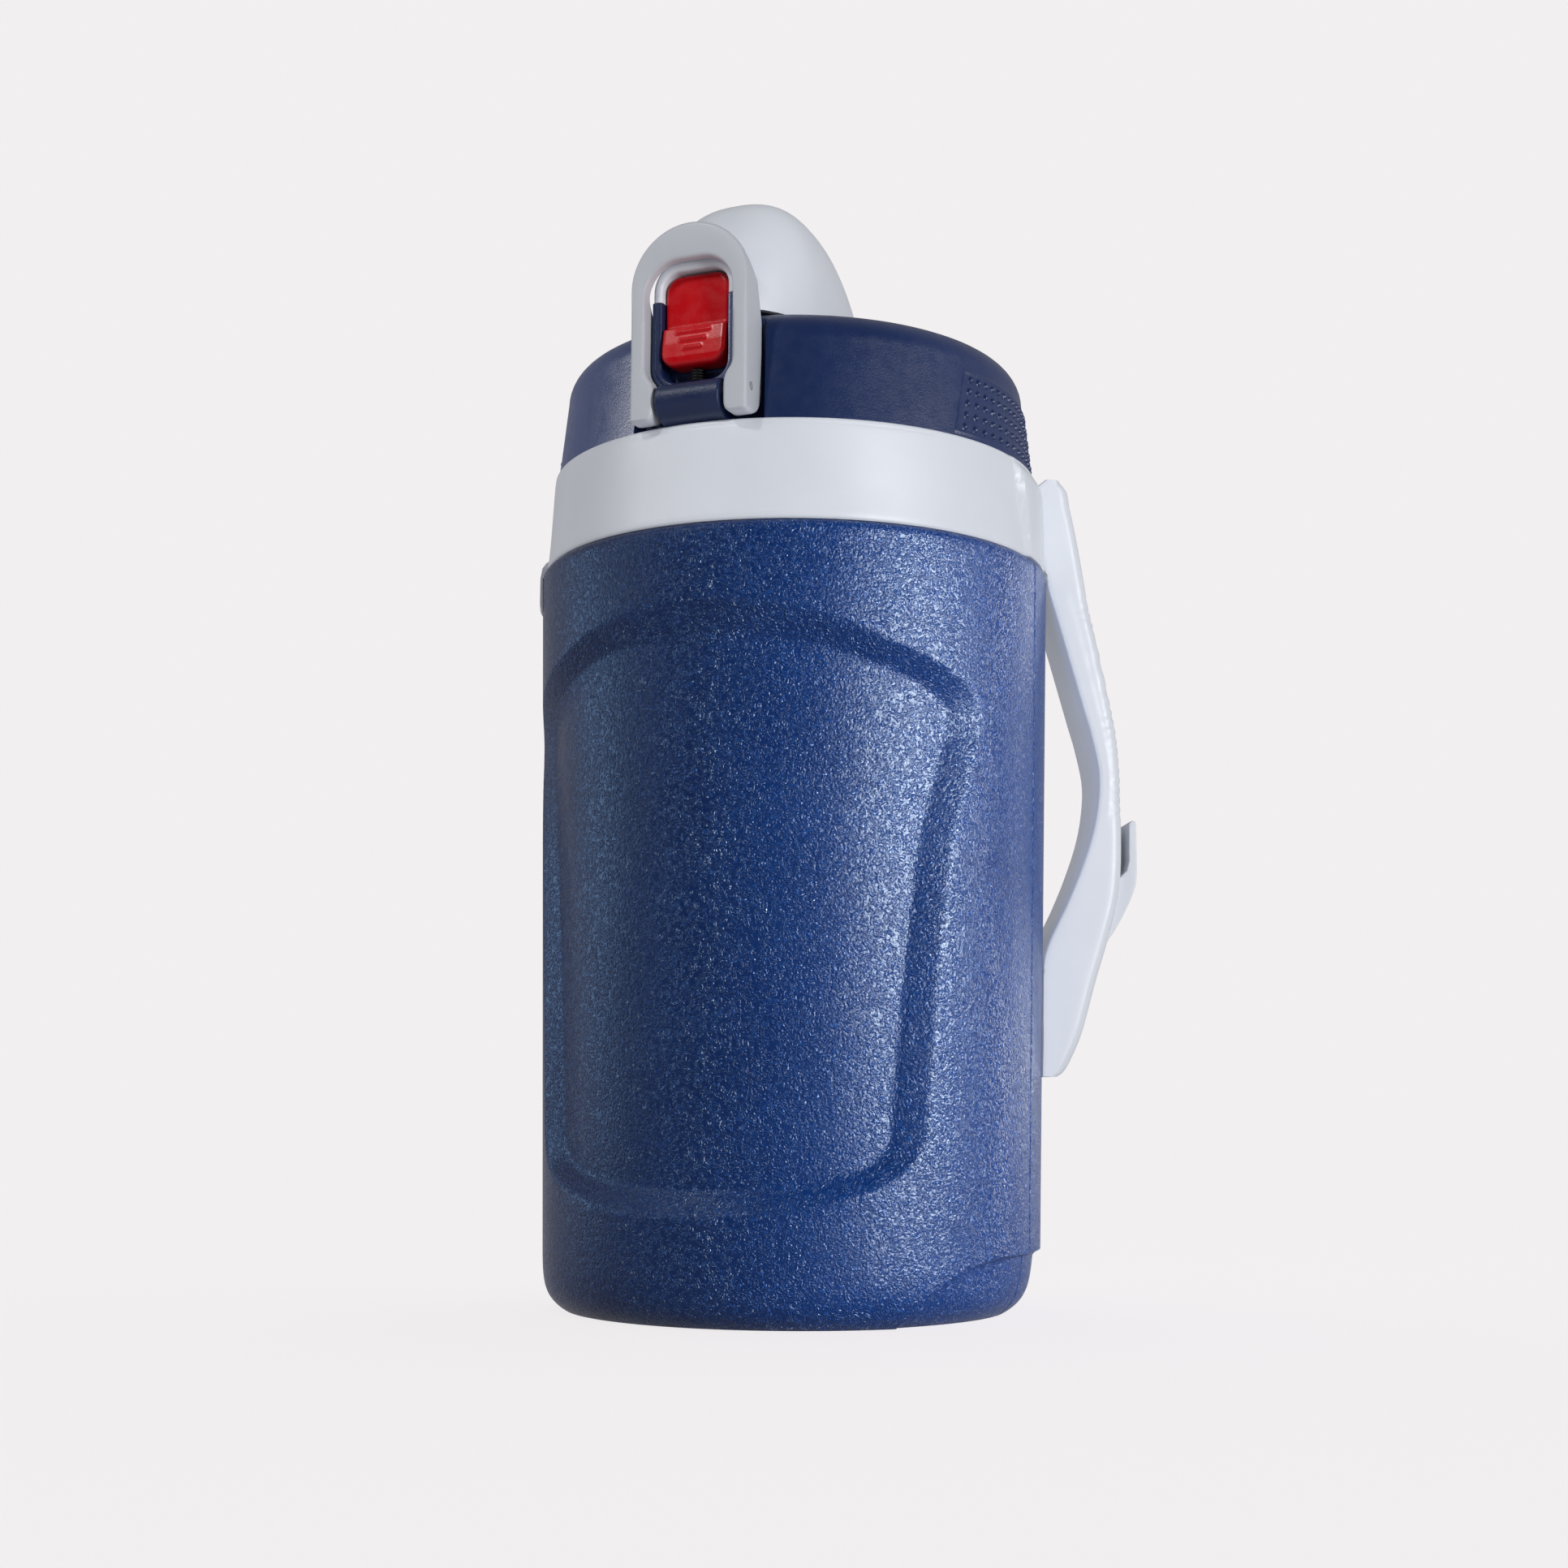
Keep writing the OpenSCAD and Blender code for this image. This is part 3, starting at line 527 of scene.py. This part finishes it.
def grip_dots(azimuth, z):
    """Height of the pads' dots and border above the wall. A pad is wider at its foot than at its head."""
    bump = np.zeros(np.broadcast(azimuth, z).shape)
    y = z + 0 * azimuth
    middle, tall = (PAD_LOW + PAD_HIGH) / 2, (PAD_HIGH - PAD_LOW) / 2
    half = np.interp(y, [PAD_LOW, PAD_HIGH], PAD_HALF) * PAD_ARC
    column = (half - PAD_MARGIN) / ((DOT_COLUMNS - 1) / 2)
    for side in (-90, 90):
        a = turned(azimuth, side) * PAD_ARC + 0 * z
        edge = np.maximum(np.abs(a) - half, np.abs(y - middle) - tall)
        bump += BORDER_H * np.exp(-((edge / BORDER_HALF) ** 2))
        k = np.clip(np.round(a / column), -(DOT_COLUMNS // 2), DOT_COLUMNS // 2)
        row = np.clip(np.round((y - middle) / DOT_PITCH), -(DOT_ROWS // 2), DOT_ROWS // 2)
        d = np.hypot(a - k * column, y - middle - row * DOT_PITCH)
        bump = np.maximum(bump, DOT_H * np.sqrt(np.clip(1 - (d / DOT_R) ** 2, 0, 1)))
    return bump


def build_lid():
    fine = [s * BAY_CORNER + np.linspace(-0.5, 0.5, 9) for s in (-1, 1)]
    pads = [side + np.arange(-PAD_HALF[0] - 1, PAD_HALF[0] + 1, 0.22) for side in (-90, 90)]
    azimuth = np.unique(np.round(np.concatenate([np.arange(-180, 180, 1.5)] + fine + pads), 4))
    out, inn = lid_profile(0, 92), lid_profile(LID_WALL, 20)[::-1]
    shapes = []
    for profile, face in ((out, BAY_BACK), (inn, BAY_BACK - 2)):
        r = np.repeat(profile[:, :1], len(azimuth), 1)
        z = profile[:, 1:] + 0 * r
        if profile is out:
            r = r + grip_dots(azimuth[None, :], z) * (r > 60)  # not on the top
        a = np.radians(azimuth)[None, :]
        bay = (np.abs(azimuth)[None, :] < BAY_CORNER) & (z > BAY_LOW - 1.2)
        flat = face / np.cos(a)
        depth = smooth(BAY_LOW - 0.5, BAY_LOW + 0.3, z)
        r = np.where(bay, np.minimum(r, flat + (r - flat) * (1 - depth)), r)
        shapes.append(round_axis(azimuth[None, :], r, z))
    return Builder().grid(np.concatenate(shapes), wrap_cols=True, wrap_rows=True)


lid = make("lid_cap", build_lid(), "lid", lid_navy, ["lid_shell"], sharp=38)

EAR_IN, EAR_W, KNUCKLE_R = 9.4, 3.4, 3.6
for side, name in ((-1, "hinge_ear_left"), (1, "hinge_ear_right")):
    outline = np.vstack([arc(HINGE_AT, HINGE_Z, KNUCKLE_R, 180, 0, 16),
                         [(HINGE_AT + s * (KNUCKLE_R + 0.6), LID_TOP - 0.6) for s in (1, -1)]])
    low, high = sorted((side * EAR_IN, side * (EAR_IN + EAR_W)))
    make(name, sideways(outline, low, high), "lid", lid_navy, ["hinge_ears"], bevel=0.5, sharp=35)

# ---- Spout cover -------------------------------------------------------------------------------
COVER_LOW, COVER_WALL, COVER_STATIONS = LID_TOP + 0.6, 2.0, 70
COVER_BACK, COVER_FRONT = -14, 61  # forward from the lid's axis
CROWN_Z = COVER_TOP - 2.4
NOSE_HALF, NOSE_IN, NOSE_LOW, NOSE_TOP, FACE_AT = 12.3, 9.7, 268.3, 280.0, 69.0
BUTTON_TOP = box("release_button")[1][2]


def hood_section(rho):
    """Half width at the foot and height of the crown at each station."""
    w = np.interp(rho, *spline([(-14, 12), (-9, 17), (0, 20.2), (20, 22.8), (34, 23.4), (44, 22.8),
                                (53, 19.6), (58.5, 15.6), (61, 12.6)], 8).T)
    h = np.interp(rho, *spline([(-14, 279), (-9, 288), (0, 298), (12, 304.4), (24, CROWN_Z),
                                (36, CROWN_Z - 0.4), (46, 302.0), (54, 293.4), (59, 284), (61, 276)], 8).T)
    return w, h


def hood_surface(inset):
    """Arches across the hood, from its back to its front, closer together at both ends."""
    share = 0.5 - 0.5 * np.cos(np.pi * np.linspace(0, 1, COVER_STATIONS))
    rho = COVER_BACK + inset + (COVER_FRONT - COVER_BACK - 2 * inset) * share
    w, h = hood_section(rho)
    w, h = (w - inset)[:, None], (h - inset - COVER_LOW)[:, None]
    t = np.radians(np.linspace(0, 180, 40))[None, :]
    e = 2 / 2.6  # between an ellipse and a rounded rectangle
    x = w * np.sign(np.cos(t)) * np.abs(np.cos(t)) ** e
    z = COVER_LOW + h * np.sin(t) ** e
    return in_lid(x, rho[:, None] + 0 * x, z)


def build_cover():
    outer, inner = hood_surface(0), hood_surface(COVER_WALL)
    b = Builder().grid(np.concatenate([outer, inner[:, ::-1]], 1), wrap_cols=True)
    for end in (0, -1):
        b.grid(np.stack([outer[end], inner[end]]))
    nose_out = doorway(NOSE_HALF, NOSE_LOW, NOSE_TOP, 9)
    nose_in = doorway(NOSE_IN, NOSE_LOW, BUTTON_TOP + 0.6, 5)
    n = len(nose_in)
    return b.loft(rounded_band(nose_in, nose_out, np.full(n, 58.5), np.full(n, FACE_AT), 1.1))


def rounded_band(inner, outer, back, front, r, n=5):
    """Rings for a band between two curves in the latch's plane, from back to front, its corners rounded."""
    rows = []
    for (ix, iz), (ox, oz), hind, fore in zip(inner, outer, back, front):
        q = np.array([ox - ix, oz - iz])
        width = np.hypot(*q)
        q = q / max(width, 1e-9)
        rr = min(r, width * 0.45, (fore - hind) * 0.45)
        ring = np.vstack([arc(width - rr, fore - rr, rr, 0, 90, n), arc(rr, fore - rr, rr, 90, 180, n),
                          arc(rr, hind + rr, rr, 180, 270, n), arc(width - rr, hind + rr, rr, 270, 360, n)])
        x, z = ix + q[0] * ring[:, 0], iz + q[1] * ring[:, 0]
        rows.append(in_lid(x, ring[:, 1], z))
    return np.array(rows)


def doorway(half, low, top, r, n=14):
    """Points up one side of a doorway, over its rounded head and down the other side."""
    leg = np.stack([np.full(5, half), np.linspace(low, top - r, 6)[:-1]], 1)
    right = np.vstack([leg, arc(half - r, top - r, r, 0, 90, n)])
    return np.vstack([right, right[::-1] * [-1, 1]])


cover = make("cover_dome", build_cover(), "cover", trim_white, ["spout_cover"], sharp=42)

for side, name in ((-1, "cover_knuckle_left"), (1, "cover_knuckle_right")):
    outline = np.vstack([arc(HINGE_AT, HINGE_Z, KNUCKLE_R, 70, 290, 18),
                         [(HINGE_AT + 7.4, HINGE_Z + s * KNUCKLE_R) for s in (-1, 1)]])
    low, high = sorted((side * 3.6, side * (EAR_IN - 0.4)))
    make(name, sideways(outline, low, high), "cover", trim_white, bevel=0.4, sharp=35)

# ---- Lock bail ---------------------------------------------------------------------------------
BAIL_HALF, BAIL_IN, BAIL_FACE, BAIL_TOP = 17.0, 12.9, 73.0, box("lock_bail")[1][2]
BAIL_OPEN_TOP, BAIL_OPEN_R = 278.0, 9.6
BAIL_BACK, BAIL_HEAD_T, BAIL_FOOT_R = 62.1, 3.6, 7.2
PIN_HOLE_R = 1.15


def build_bail():
    head = np.radians(np.linspace(0, 90, 22))
    outer_c = BAIL_TOP - BAIL_HALF
    # height, inner half width and outer half width of a leg
    legs = spline([(234.3, 13.2, 15.8), (234.6, 11.8, 16.6), (235.4, 10.8, 17.0), (236.8, 10.3, 17.0),
                   (239, 10.2, 17.0), (241.5, 10.2, 17.0), (243.6, 10.4, 17.0), (245.2, 11.0, 17.0),
                   (246.6, 12.0, 17.0), (248.2, 12.7, 17.0), (250, 12.9, 17.0), (254, 12.9, 17.0),
                   (258, 12.9, 17.0), (261, 12.9, 17.0)], 3)
    inner = [(i, z) for z, i, o in legs]
    outer = [(o, z) for z, i, o in legs]
    arch = doorway(BAIL_IN, 262, BAIL_OPEN_TOP, BAIL_OPEN_R, 16)
    arch = arch[:len(arch) // 2]
    arch = np.vstack([arch, [(BAIL_OPEN_R * 0.15, BAIL_OPEN_TOP), (0, BAIL_OPEN_TOP)]])
    run = np.append(0, np.cumsum(np.hypot(*np.diff(arch, axis=0).T)))
    at = np.linspace(0, run[-1], len(head))
    inner += list(zip(np.interp(at, run, arch[:, 0]), np.interp(at, run, arch[:, 1])))
    outer += [(BAIL_HALF * math.cos(t), outer_c + BAIL_HALF * math.sin(t)) for t in head]
    inner, outer = np.array(inner), np.array(outer)
    z = outer[:, 1]
    drop = np.clip(BAIL_Z - z, 0, BAIL_FOOT_R)
    swing = np.sqrt(BAIL_FOOT_R**2 - drop**2 + 1e-9)
    front = np.where(z < BAIL_Z, np.minimum(BAIL_FACE, BAIL_AT + swing + 0.6), BAIL_FACE)
    hind = np.where(z < BAIL_Z, BAIL_AT - np.minimum(swing, BAIL_FOOT_R),
                    BAIL_BACK + (BAIL_FACE - BAIL_HEAD_T - BAIL_BACK) * smooth(265, 279, z))
    inner = np.vstack([inner, inner[-2::-1] * [-1, 1]])
    outer = np.vstack([outer, outer[-2::-1] * [-1, 1]])
    front, hind = np.append(front, front[-2::-1]), np.append(hind, hind[-2::-1])
    return Builder().loft(rounded_band(inner, outer, hind, front, 1.15, 6))


def drill(o, centre, radius, half_length, axis):
    """Cuts a round hole through a piece and keeps the result as its mesh."""
    bm = bmesh.new()
    bmesh.ops.create_cone(bm, cap_ends=True, segments=32, radius1=radius * MM, radius2=radius * MM,
                          depth=2 * half_length * MM)
    turn = Vector(axis).to_track_quat("Z", "Y").to_matrix().to_4x4()
    bmesh.ops.transform(bm, matrix=Matrix.Translation(Vector(centre * MM)) @ turn, verts=bm.verts)
    mesh = bpy.data.meshes.new("drill")
    bm.to_mesh(mesh)
    bm.free()
    tool = bpy.data.objects.new("drill", mesh)
    bpy.context.scene.collection.objects.link(tool)
    m = o.modifiers.new("hole", "BOOLEAN")
    m.operation, m.object, m.solver = "DIFFERENCE", tool, "EXACT"
    bpy.context.view_layer.update()
    cut = bpy.data.meshes.new_from_object(o.evaluated_get(bpy.context.evaluated_depsgraph_get()))
    o.modifiers.clear()
    o.data = cut
    bpy.data.objects.remove(tool)
    o.data.set_sharp_from_angle(angle=math.radians(40))


bail = make("lock_bail_arch", build_bail(), "bail", trim_white, ["lock_bail"], sharp=40)
drill(bail, pivot("bail_swing"), PIN_HOLE_R, 20, ACROSS)

# ---- Button ------------------------------------------------------------------------------------
BUTTON_LOW = box("release_button")[0][2]
BUTTON_HALF, BUTTON_BACK = 9.4, 64.2
BUTTON_FOOT_R, BUTTON_HEAD_R, BUTTON_EDGE_R = 4.2, 4.4, 1.3
LEDGE_Z = 261.3
RIBS = ((259.0, 9.5), (256.6, 7.0), (254.3, 4.5))  # height and length
RIB_HALF, RIB_H = 0.55, 0.42


def button_half(z):
    """Half width at each height, with its four corners rounded."""
    low = np.clip((BUTTON_LOW + BUTTON_FOOT_R - z) / BUTTON_FOOT_R, 0, 1)
    high = np.clip((z - BUTTON_TOP + BUTTON_HEAD_R) / BUTTON_HEAD_R, 0, 1)
    return (BUTTON_HALF - BUTTON_FOOT_R * (1 - np.sqrt(1 - low**2)) -
            BUTTON_HEAD_R * (1 - np.sqrt(1 - high**2)))


def build_button():
    z = np.concatenate([[BUTTON_LOW], BUTTON_LOW + (BUTTON_TOP - BUTTON_LOW) *
                        (0.5 - 0.5 * np.cos(np.pi * np.linspace(0.03, 0.97, 110))), [BUTTON_TOP]])
    u = np.sin(np.pi / 2 * np.linspace(-1, 1, 91))
    half = np.maximum(button_half(z), 0.02)[:, None]
    x = half * u[None, :]
    zz = z[:, None] + 0 * x
    outline = np.vstack([np.stack([button_half(z), z], 1), np.stack([-button_half(z), z], 1)[::-1]])
    d = np.maximum(outline_distance(outline, x, zz), 0)
    r = BUTTON_EDGE_R
    slope = np.interp(zz, [BUTTON_LOW, 252, 256, LEDGE_Z - 1.1, LEDGE_Z, BUTTON_TOP],
                      [69.8, 70.15, 69.8, 69.1, 67.2, 67.4])
    face = slope - r + np.sqrt(np.clip(r * r - (r - np.minimum(d, r)) ** 2, 0, None))
    for rib_z, length in RIBS:
        along = np.maximum(np.abs(x) - length / 2, 0)
        near = np.hypot(along, zz - rib_z) / RIB_HALF
        face = face + RIB_H * np.exp(-near**2 * 1.6)
    front, back = in_lid(x, face, zz), in_lid(x, BUTTON_BACK + 0 * x, zz)
    b = Builder().grid(front).grid(back)
    rows, cols = x.shape
    edge = ([(0, j) for j in range(cols)] + [(i, cols - 1) for i in range(1, rows)] +
            [(rows - 1, j) for j in range(cols - 2, -1, -1)] + [(i, 0) for i in range(rows - 2, 0, -1)])
    return b.grid(np.array([[side[i, j] for i, j in edge] for side in (front, back)]), wrap_cols=True)


button = make("slide_button", build_button(), "button", button_red, ["release_button"],
              sharp=50)

# ---- Latch frame -------------------------------------------------------------------------------
FRAME_HALF, FRAME_IN, FRAME_TOP, FRAME_LOW, FRAME_WALL = 12.3, 9.7, 268.0, 245.4, 2.8
PLATE_BACK, PLATE_FRONT = 61.55, 63.5
CURL_HALF, CURL_LOW = 9.3, 233.4


def cradle(half, low, r):
    """Points down one side of a U, round its two lower corners and up the other side."""
    side = np.stack([np.full(8, half), np.linspace(FRAME_TOP, low + r, 9)[:-1]], 1)
    corner = arc(half - r, low + r, r, 0, -90, 12)
    floor_x = np.linspace(half - r, 0, 6)[1:]
    right = np.vstack([side, corner, np.stack([floor_x, np.full(5, low)], 1)])
    return np.vstack([right, right[-2::-1] * [-1, 1]])


def build_frame():
    outer, inner = cradle(FRAME_HALF, FRAME_LOW - FRAME_WALL, 7.2), cradle(FRAME_IN, FRAME_LOW, 4.8)
    b = Builder()
    for band_in, back, front, r in ((inner, 61.6, FACE_AT, 0.75),
                                    (inner + (outer - inner) * 0.55, 66.0, FACE_AT + 0.35, 0.5)):
        b.loft(rounded_band(band_in, outer, np.full(len(outer), back), np.full(len(outer), front), r))
    for half, low, high in ((FRAME_HALF - 0.6, 250, 262), (CURL_HALF, CURL_LOW, 250.5)):
        plate = [(-half, low), (half, low), (half, high), (-half, high)]
        b.loft(prism(plate, lambda u, v, w: in_lid(u, w, v), PLATE_BACK, PLATE_FRONT))
    return b


housing = make("latch_frame", build_frame(), "lid", lid_navy, ["latch_housing"], sharp=40)
curl = np.vstack([[(62.0, CURL_LOW), (65.0, CURL_LOW)],
                  spline([(68.2, 233.9), (71.4, 235.2), (73.4, 238.0), (73.6, 241.2), (72.4, 243.6),
                          (70.2, 244.6)], 6), [(66.4, 244.6), (62.0, 244.6)]])
make("latch_knuckle", sideways(curl, -CURL_HALF, CURL_HALF), "lid", lid_navy, bevel=0.6, sharp=35)

# ---- Swing handle ------------------------------------------------------------------------------
HANDLE_HALF, HOOK_HALF = 14.0, 9
GRIP_PITCH, GRIP_DEPTH = 2.8, 0.3
SHELL_GAP = 0.4


def build_handle():
    inner = spline([(68.6, 63.6), (68.6, 65), (68.6, 68), (68.6, 76), (68.7, 90), (70.8, 100), (76.4, 112),
                    (80.2, 121), (83.6, 131), (85.4, 140), (85.8, 149), (83.9, 159), (81.4, 168), (76.2, 187),
                    (73.1, 198), (69.5, 211), (67.7, 219), (67.7, 226), (69.0, 231.5), (71.5, 234.0)], 10)
    outer = spline([(73.0, 63.6), (75.0, 65), (76.9, 68), (80.4, 76), (84.4, 90), (87.5, 100), (90.8, 112),
                    (92.0, 121), (92.3, 131), (92.3, 140), (92.2, 149), (91.5, 159), (90.0, 168), (86.2, 187),
                    (83.8, 198), (81.7, 211), (80.3, 219), (78.9, 226), (78.0, 231.0), (75.5, 234.0)], 10)
    rows = []
    for (xi, zi), (xo, zo) in zip(inner, outer):
        mid_z = (zi + zo) / 2
        ribs = smooth(133, 138, mid_z) * (1 - smooth(198, 203, mid_z))
        wave = GRIP_DEPTH * ribs * (0.5 + 0.5 * math.cos(2 * math.pi * mid_z / GRIP_PITCH))
        deep = np.hypot(xo - xi, zo - zi)
        r_in, r_out = min(1.0, deep * 0.3), min(3.0, deep * 0.45)
        w = HANDLE_HALF
        flank = np.linspace(r_in, deep - r_out, 9)[1:-1, None]
        ring = np.vstack([arc(w - r_out, deep - r_out, r_out, 0, 90, 6),
                          [(w * 0.5, deep), (0, deep), (-w * 0.5, deep)],
                          arc(-w + r_out, deep - r_out, r_out, 90, 180, 6), flank[::-1] * [0, 1] - [w, 0],
                          arc(-w + r_in, r_in, r_in, 180, 270, 4), arc(w - r_in, r_in, r_in, 270, 360, 4),
                          flank * [0, 1] + [w, 0]])
        crown = np.clip(ring[:, 1] / deep - 0.45, 0, 1) / 0.55
        ring[:, 0] -= np.sign(ring[:, 0]) * wave * np.clip(crown * 4, 0, 1) * (np.abs(ring[:, 0]) > w - r_out)
        t = (ring[:, 1] - wave * crown) / deep
        x, y, z = xi + (xo - xi) * t, ring[:, 0], zi + (zo - zi) * t
        hug = np.where(z < SHELL_H + SHELL_GAP, np.sqrt((plain_radius(z) + SHELL_GAP)**2 - y**2), 0)
        rows.append(np.stack([np.maximum(x, hug), y, z], 1))
    return Builder().loft(np.array(rows))


handle = make("handle_grip", build_handle(), "handle", trim_white, ["side_handle"], sharp=45)
outline = np.vstack([spline([(86, 98), (90.8, 105), (94.2, 111.2), (96.7, 117.3), (97.2, 122.5), (97.25, 130),
                             (97.2, 134.6)], 5), arc(96.2, 134.8, 1.1, 10, 180, 5),
                     [(95.0, 131), (94.9, 124.4), (94.2, 121.6), (92.4, 119.8), (89, 118.5)]])
hook = make("handle_hook", Builder().loft(along_y(outline, HOOK_HALF)), "handle", trim_white,
            bevel=0.5, sharp=35)

# ---- CAD parts that stay as they are -----------------------------------------------------------
kept = {"foam_insulation": pu_foam, "lid_foam": pu_foam, "inner_liner": liner_grey, "lid_liner": liner_grey,
        "base_plugs": shell_blue, "handle_pin": steel, "bail_pin": steel, "cover_pin": steel,
        "button_spring": dark_steel, "cover_spring": steel, "lid_gasket": silicone, "spout_o_ring": silicone,
        "vent_valve": silicone, "mouth_seal": silicone, "spout": spout_grey}
for node, material in kept.items():
    dress(frame["nodes"][node], material, sharp=30)

# ---- Stage, light and camera -------------------------------------------------------------------
BACKDROP = rgb(242, 239, 240)
FLOOR_SPAN = 60
FLOOR_GLOW, FLOOR_BOUNCE = 0.915, 0.34  # light from the floor as the camera and as the pieces see it
CAMERA_AZ, CAMERA_AWAY, CAMERA_Z = -3.0, 0.619, 0.059
PITCH, YAW, ROLL = 8.05, 0.25, 0.3
LIGHT_TARGET = 0.15
scene = bpy.context.scene
scene.view_settings.view_transform = "Standard"

floor_mesh = bpy.data.meshes.new("floor")
floor_mesh.from_pydata([(x * FLOOR_SPAN, y * FLOOR_SPAN, 0) for x, y in ((-1, -1), (1, -1), (1, 1), (-1, 1))],
                       [], [(0, 1, 2, 3)])
floor = bpy.data.objects.new("floor", floor_mesh)
scene.collection.objects.link(floor)
floor_look = Nodes("floor_pale")
floor_look.link(Base_Color=(0.4, 0.4, 0.4, 1.0), Roughness=1.0, Specular_IOR_Level=0.0,
                Emission_Color=BACKDROP, Emission_Strength=floor_look.math(
                    "MULTIPLY_ADD", floor_look.add("ShaderNodeLightPath").outputs["Is Camera Ray"],
                    FLOOR_GLOW - FLOOR_BOUNCE, FLOOR_BOUNCE))
floor_mesh.materials.append(floor_look.material)
floor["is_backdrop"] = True

world = bpy.data.worlds.new("studio")
scene.world = world
world.use_nodes = True
world.node_tree.nodes.clear()


def world_node(kind, inputs=()):
    return add_node(world.node_tree, kind, inputs)


aim = world_node("ShaderNodeSeparateXYZ", {0: world_node("ShaderNodeTexCoord").outputs["Generated"]}).outputs
front_dark = world_node("ShaderNodeMapRange", {"Value": aim["Y"], "From Min": -0.4, "From Max": 0.3,
                                               "To Min": 0.02, "To Max": 0.38}).outputs["Result"]
studio = world_node("ShaderNodeBackground", {"Color": BACKDROP, "Strength": front_dark}).outputs[0]
seen = world_node("ShaderNodeBackground", {"Color": BACKDROP, "Strength": 1.0}).outputs[0]
path = world_node("ShaderNodeLightPath").outputs["Is Camera Ray"]
both = world_node("ShaderNodeMixShader", {0: path, 1: studio, 2: seen}).outputs[0]
world_node("ShaderNodeOutputWorld", {"Surface": both})


def softbox(name, azimuth, distance, height, size, power, colour=(1, 1, 1)):
    """A rectangular light that faces the jug. The azimuth is counted from the camera's."""
    light = bpy.data.lights.new(name, "AREA")
    light.shape, light.size, light.size_y = "RECTANGLE", size[0], size[1]
    light.energy, light.color = power, colour
    o = bpy.data.objects.new(name, light)
    scene.collection.objects.link(o)
    a = math.radians(CAMERA_AZ + azimuth)
    o.location = (math.sin(a) * distance, -math.cos(a) * distance, height)
    o.rotation_euler = (Vector((0, 0, LIGHT_TARGET)) - o.location).to_track_quat("-Z", "Y").to_euler()
    return o


lamps = [softbox("softbox_right", 38, 1.5, 0.28, (0.26, 0.6), 10),
         softbox("softbox_left", -75, 1.4, 0.9, (0.5, 1.0), 3)]
sun = bpy.data.lights.new("key", "SUN")
sun.energy, sun.angle = 0.6, math.radians(4)
key = bpy.data.objects.new("key", sun)
scene.collection.objects.link(key)
key.rotation_euler = Vector((0.56, 0.52, -0.64)).to_track_quat("-Z", "Y").to_euler()


def light_only(lights, name, pieces, own_shadow=False):
    """Limits lights to some pieces. With own_shadow, nothing else shades those pieces from them."""
    group = bpy.data.collections.new(name)
    for piece in pieces:
        group.objects.link(piece)
    for light in lights:
        light.light_linking.receiver_collection = group
        if own_shadow:
            light.light_linking.blocker_collection = group


light_only(lamps + [key], "lit_by_softboxes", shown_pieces())
light_only([softbox("strip_right", 45, 1.5, 0.24, (0.3, 0.62), 30),
            softbox("strip_far_right", 66, 1.5, 0.24, (0.22, 0.62), 40),
            softbox("rim_right", 132, 1.3, 0.12, (0.4, 0.8), 6),
            softbox("rim_left", -104, 1.3, 0.12, (0.5, 0.9), 7, (0.36, 0.62, 1.0))], "shell_parts", [shell])
light_only([softbox("lid_left", -78, 1.3, 0.5, (0.3, 0.5), 13),
            softbox("lid_right", 66, 1.4, 0.35, (0.4, 0.5), 10)], "lid_parts", [lid, housing])
light_only([softbox("button_top", -30, 1.2, 1.3, (0.3, 0.3), 9)], "button_parts", [button])
light_only([softbox("fill_right", 42, 1.6, 0.5, (0.9, 0.9), 9),
            softbox("fill_left", -62, 1.6, 0.8, (0.9, 0.9), 4)], "white_parts", [collar, cover, handle, hook])
light_only([softbox("handle_fill", -62, 1.3, 0.2, (0.5, 0.6), 9)], "handle_parts", [handle, hook], True)

camera = bpy.data.cameras.new("camera")
camera.lens, camera.sensor_width = 50, 36
view = bpy.data.objects.new("camera", camera)
scene.collection.objects.link(view)
a, pitch, yaw, roll = (math.radians(x) for x in (CAMERA_AZ, PITCH, YAW, ROLL))
ahead, right = Vector((-math.sin(a), math.cos(a), 0)), Vector((math.cos(a), math.sin(a), 0))
up = Vector((0, 0, 1))
ahead, right = (ahead * math.cos(yaw) - right * math.sin(yaw), right * math.cos(yaw) + ahead * math.sin(yaw))
ahead, up = ahead * math.cos(pitch) + up * math.sin(pitch), up * math.cos(pitch) - ahead * math.sin(pitch)
right, up = right * math.cos(roll) + up * math.sin(roll), up * math.cos(roll) - right * math.sin(roll)
place = Matrix((right, up, -ahead)).transposed().to_4x4()
place.translation = (math.sin(a) * CAMERA_AWAY, -math.cos(a) * CAMERA_AWAY, CAMERA_Z)
view.matrix_world = place
scene.camera = view
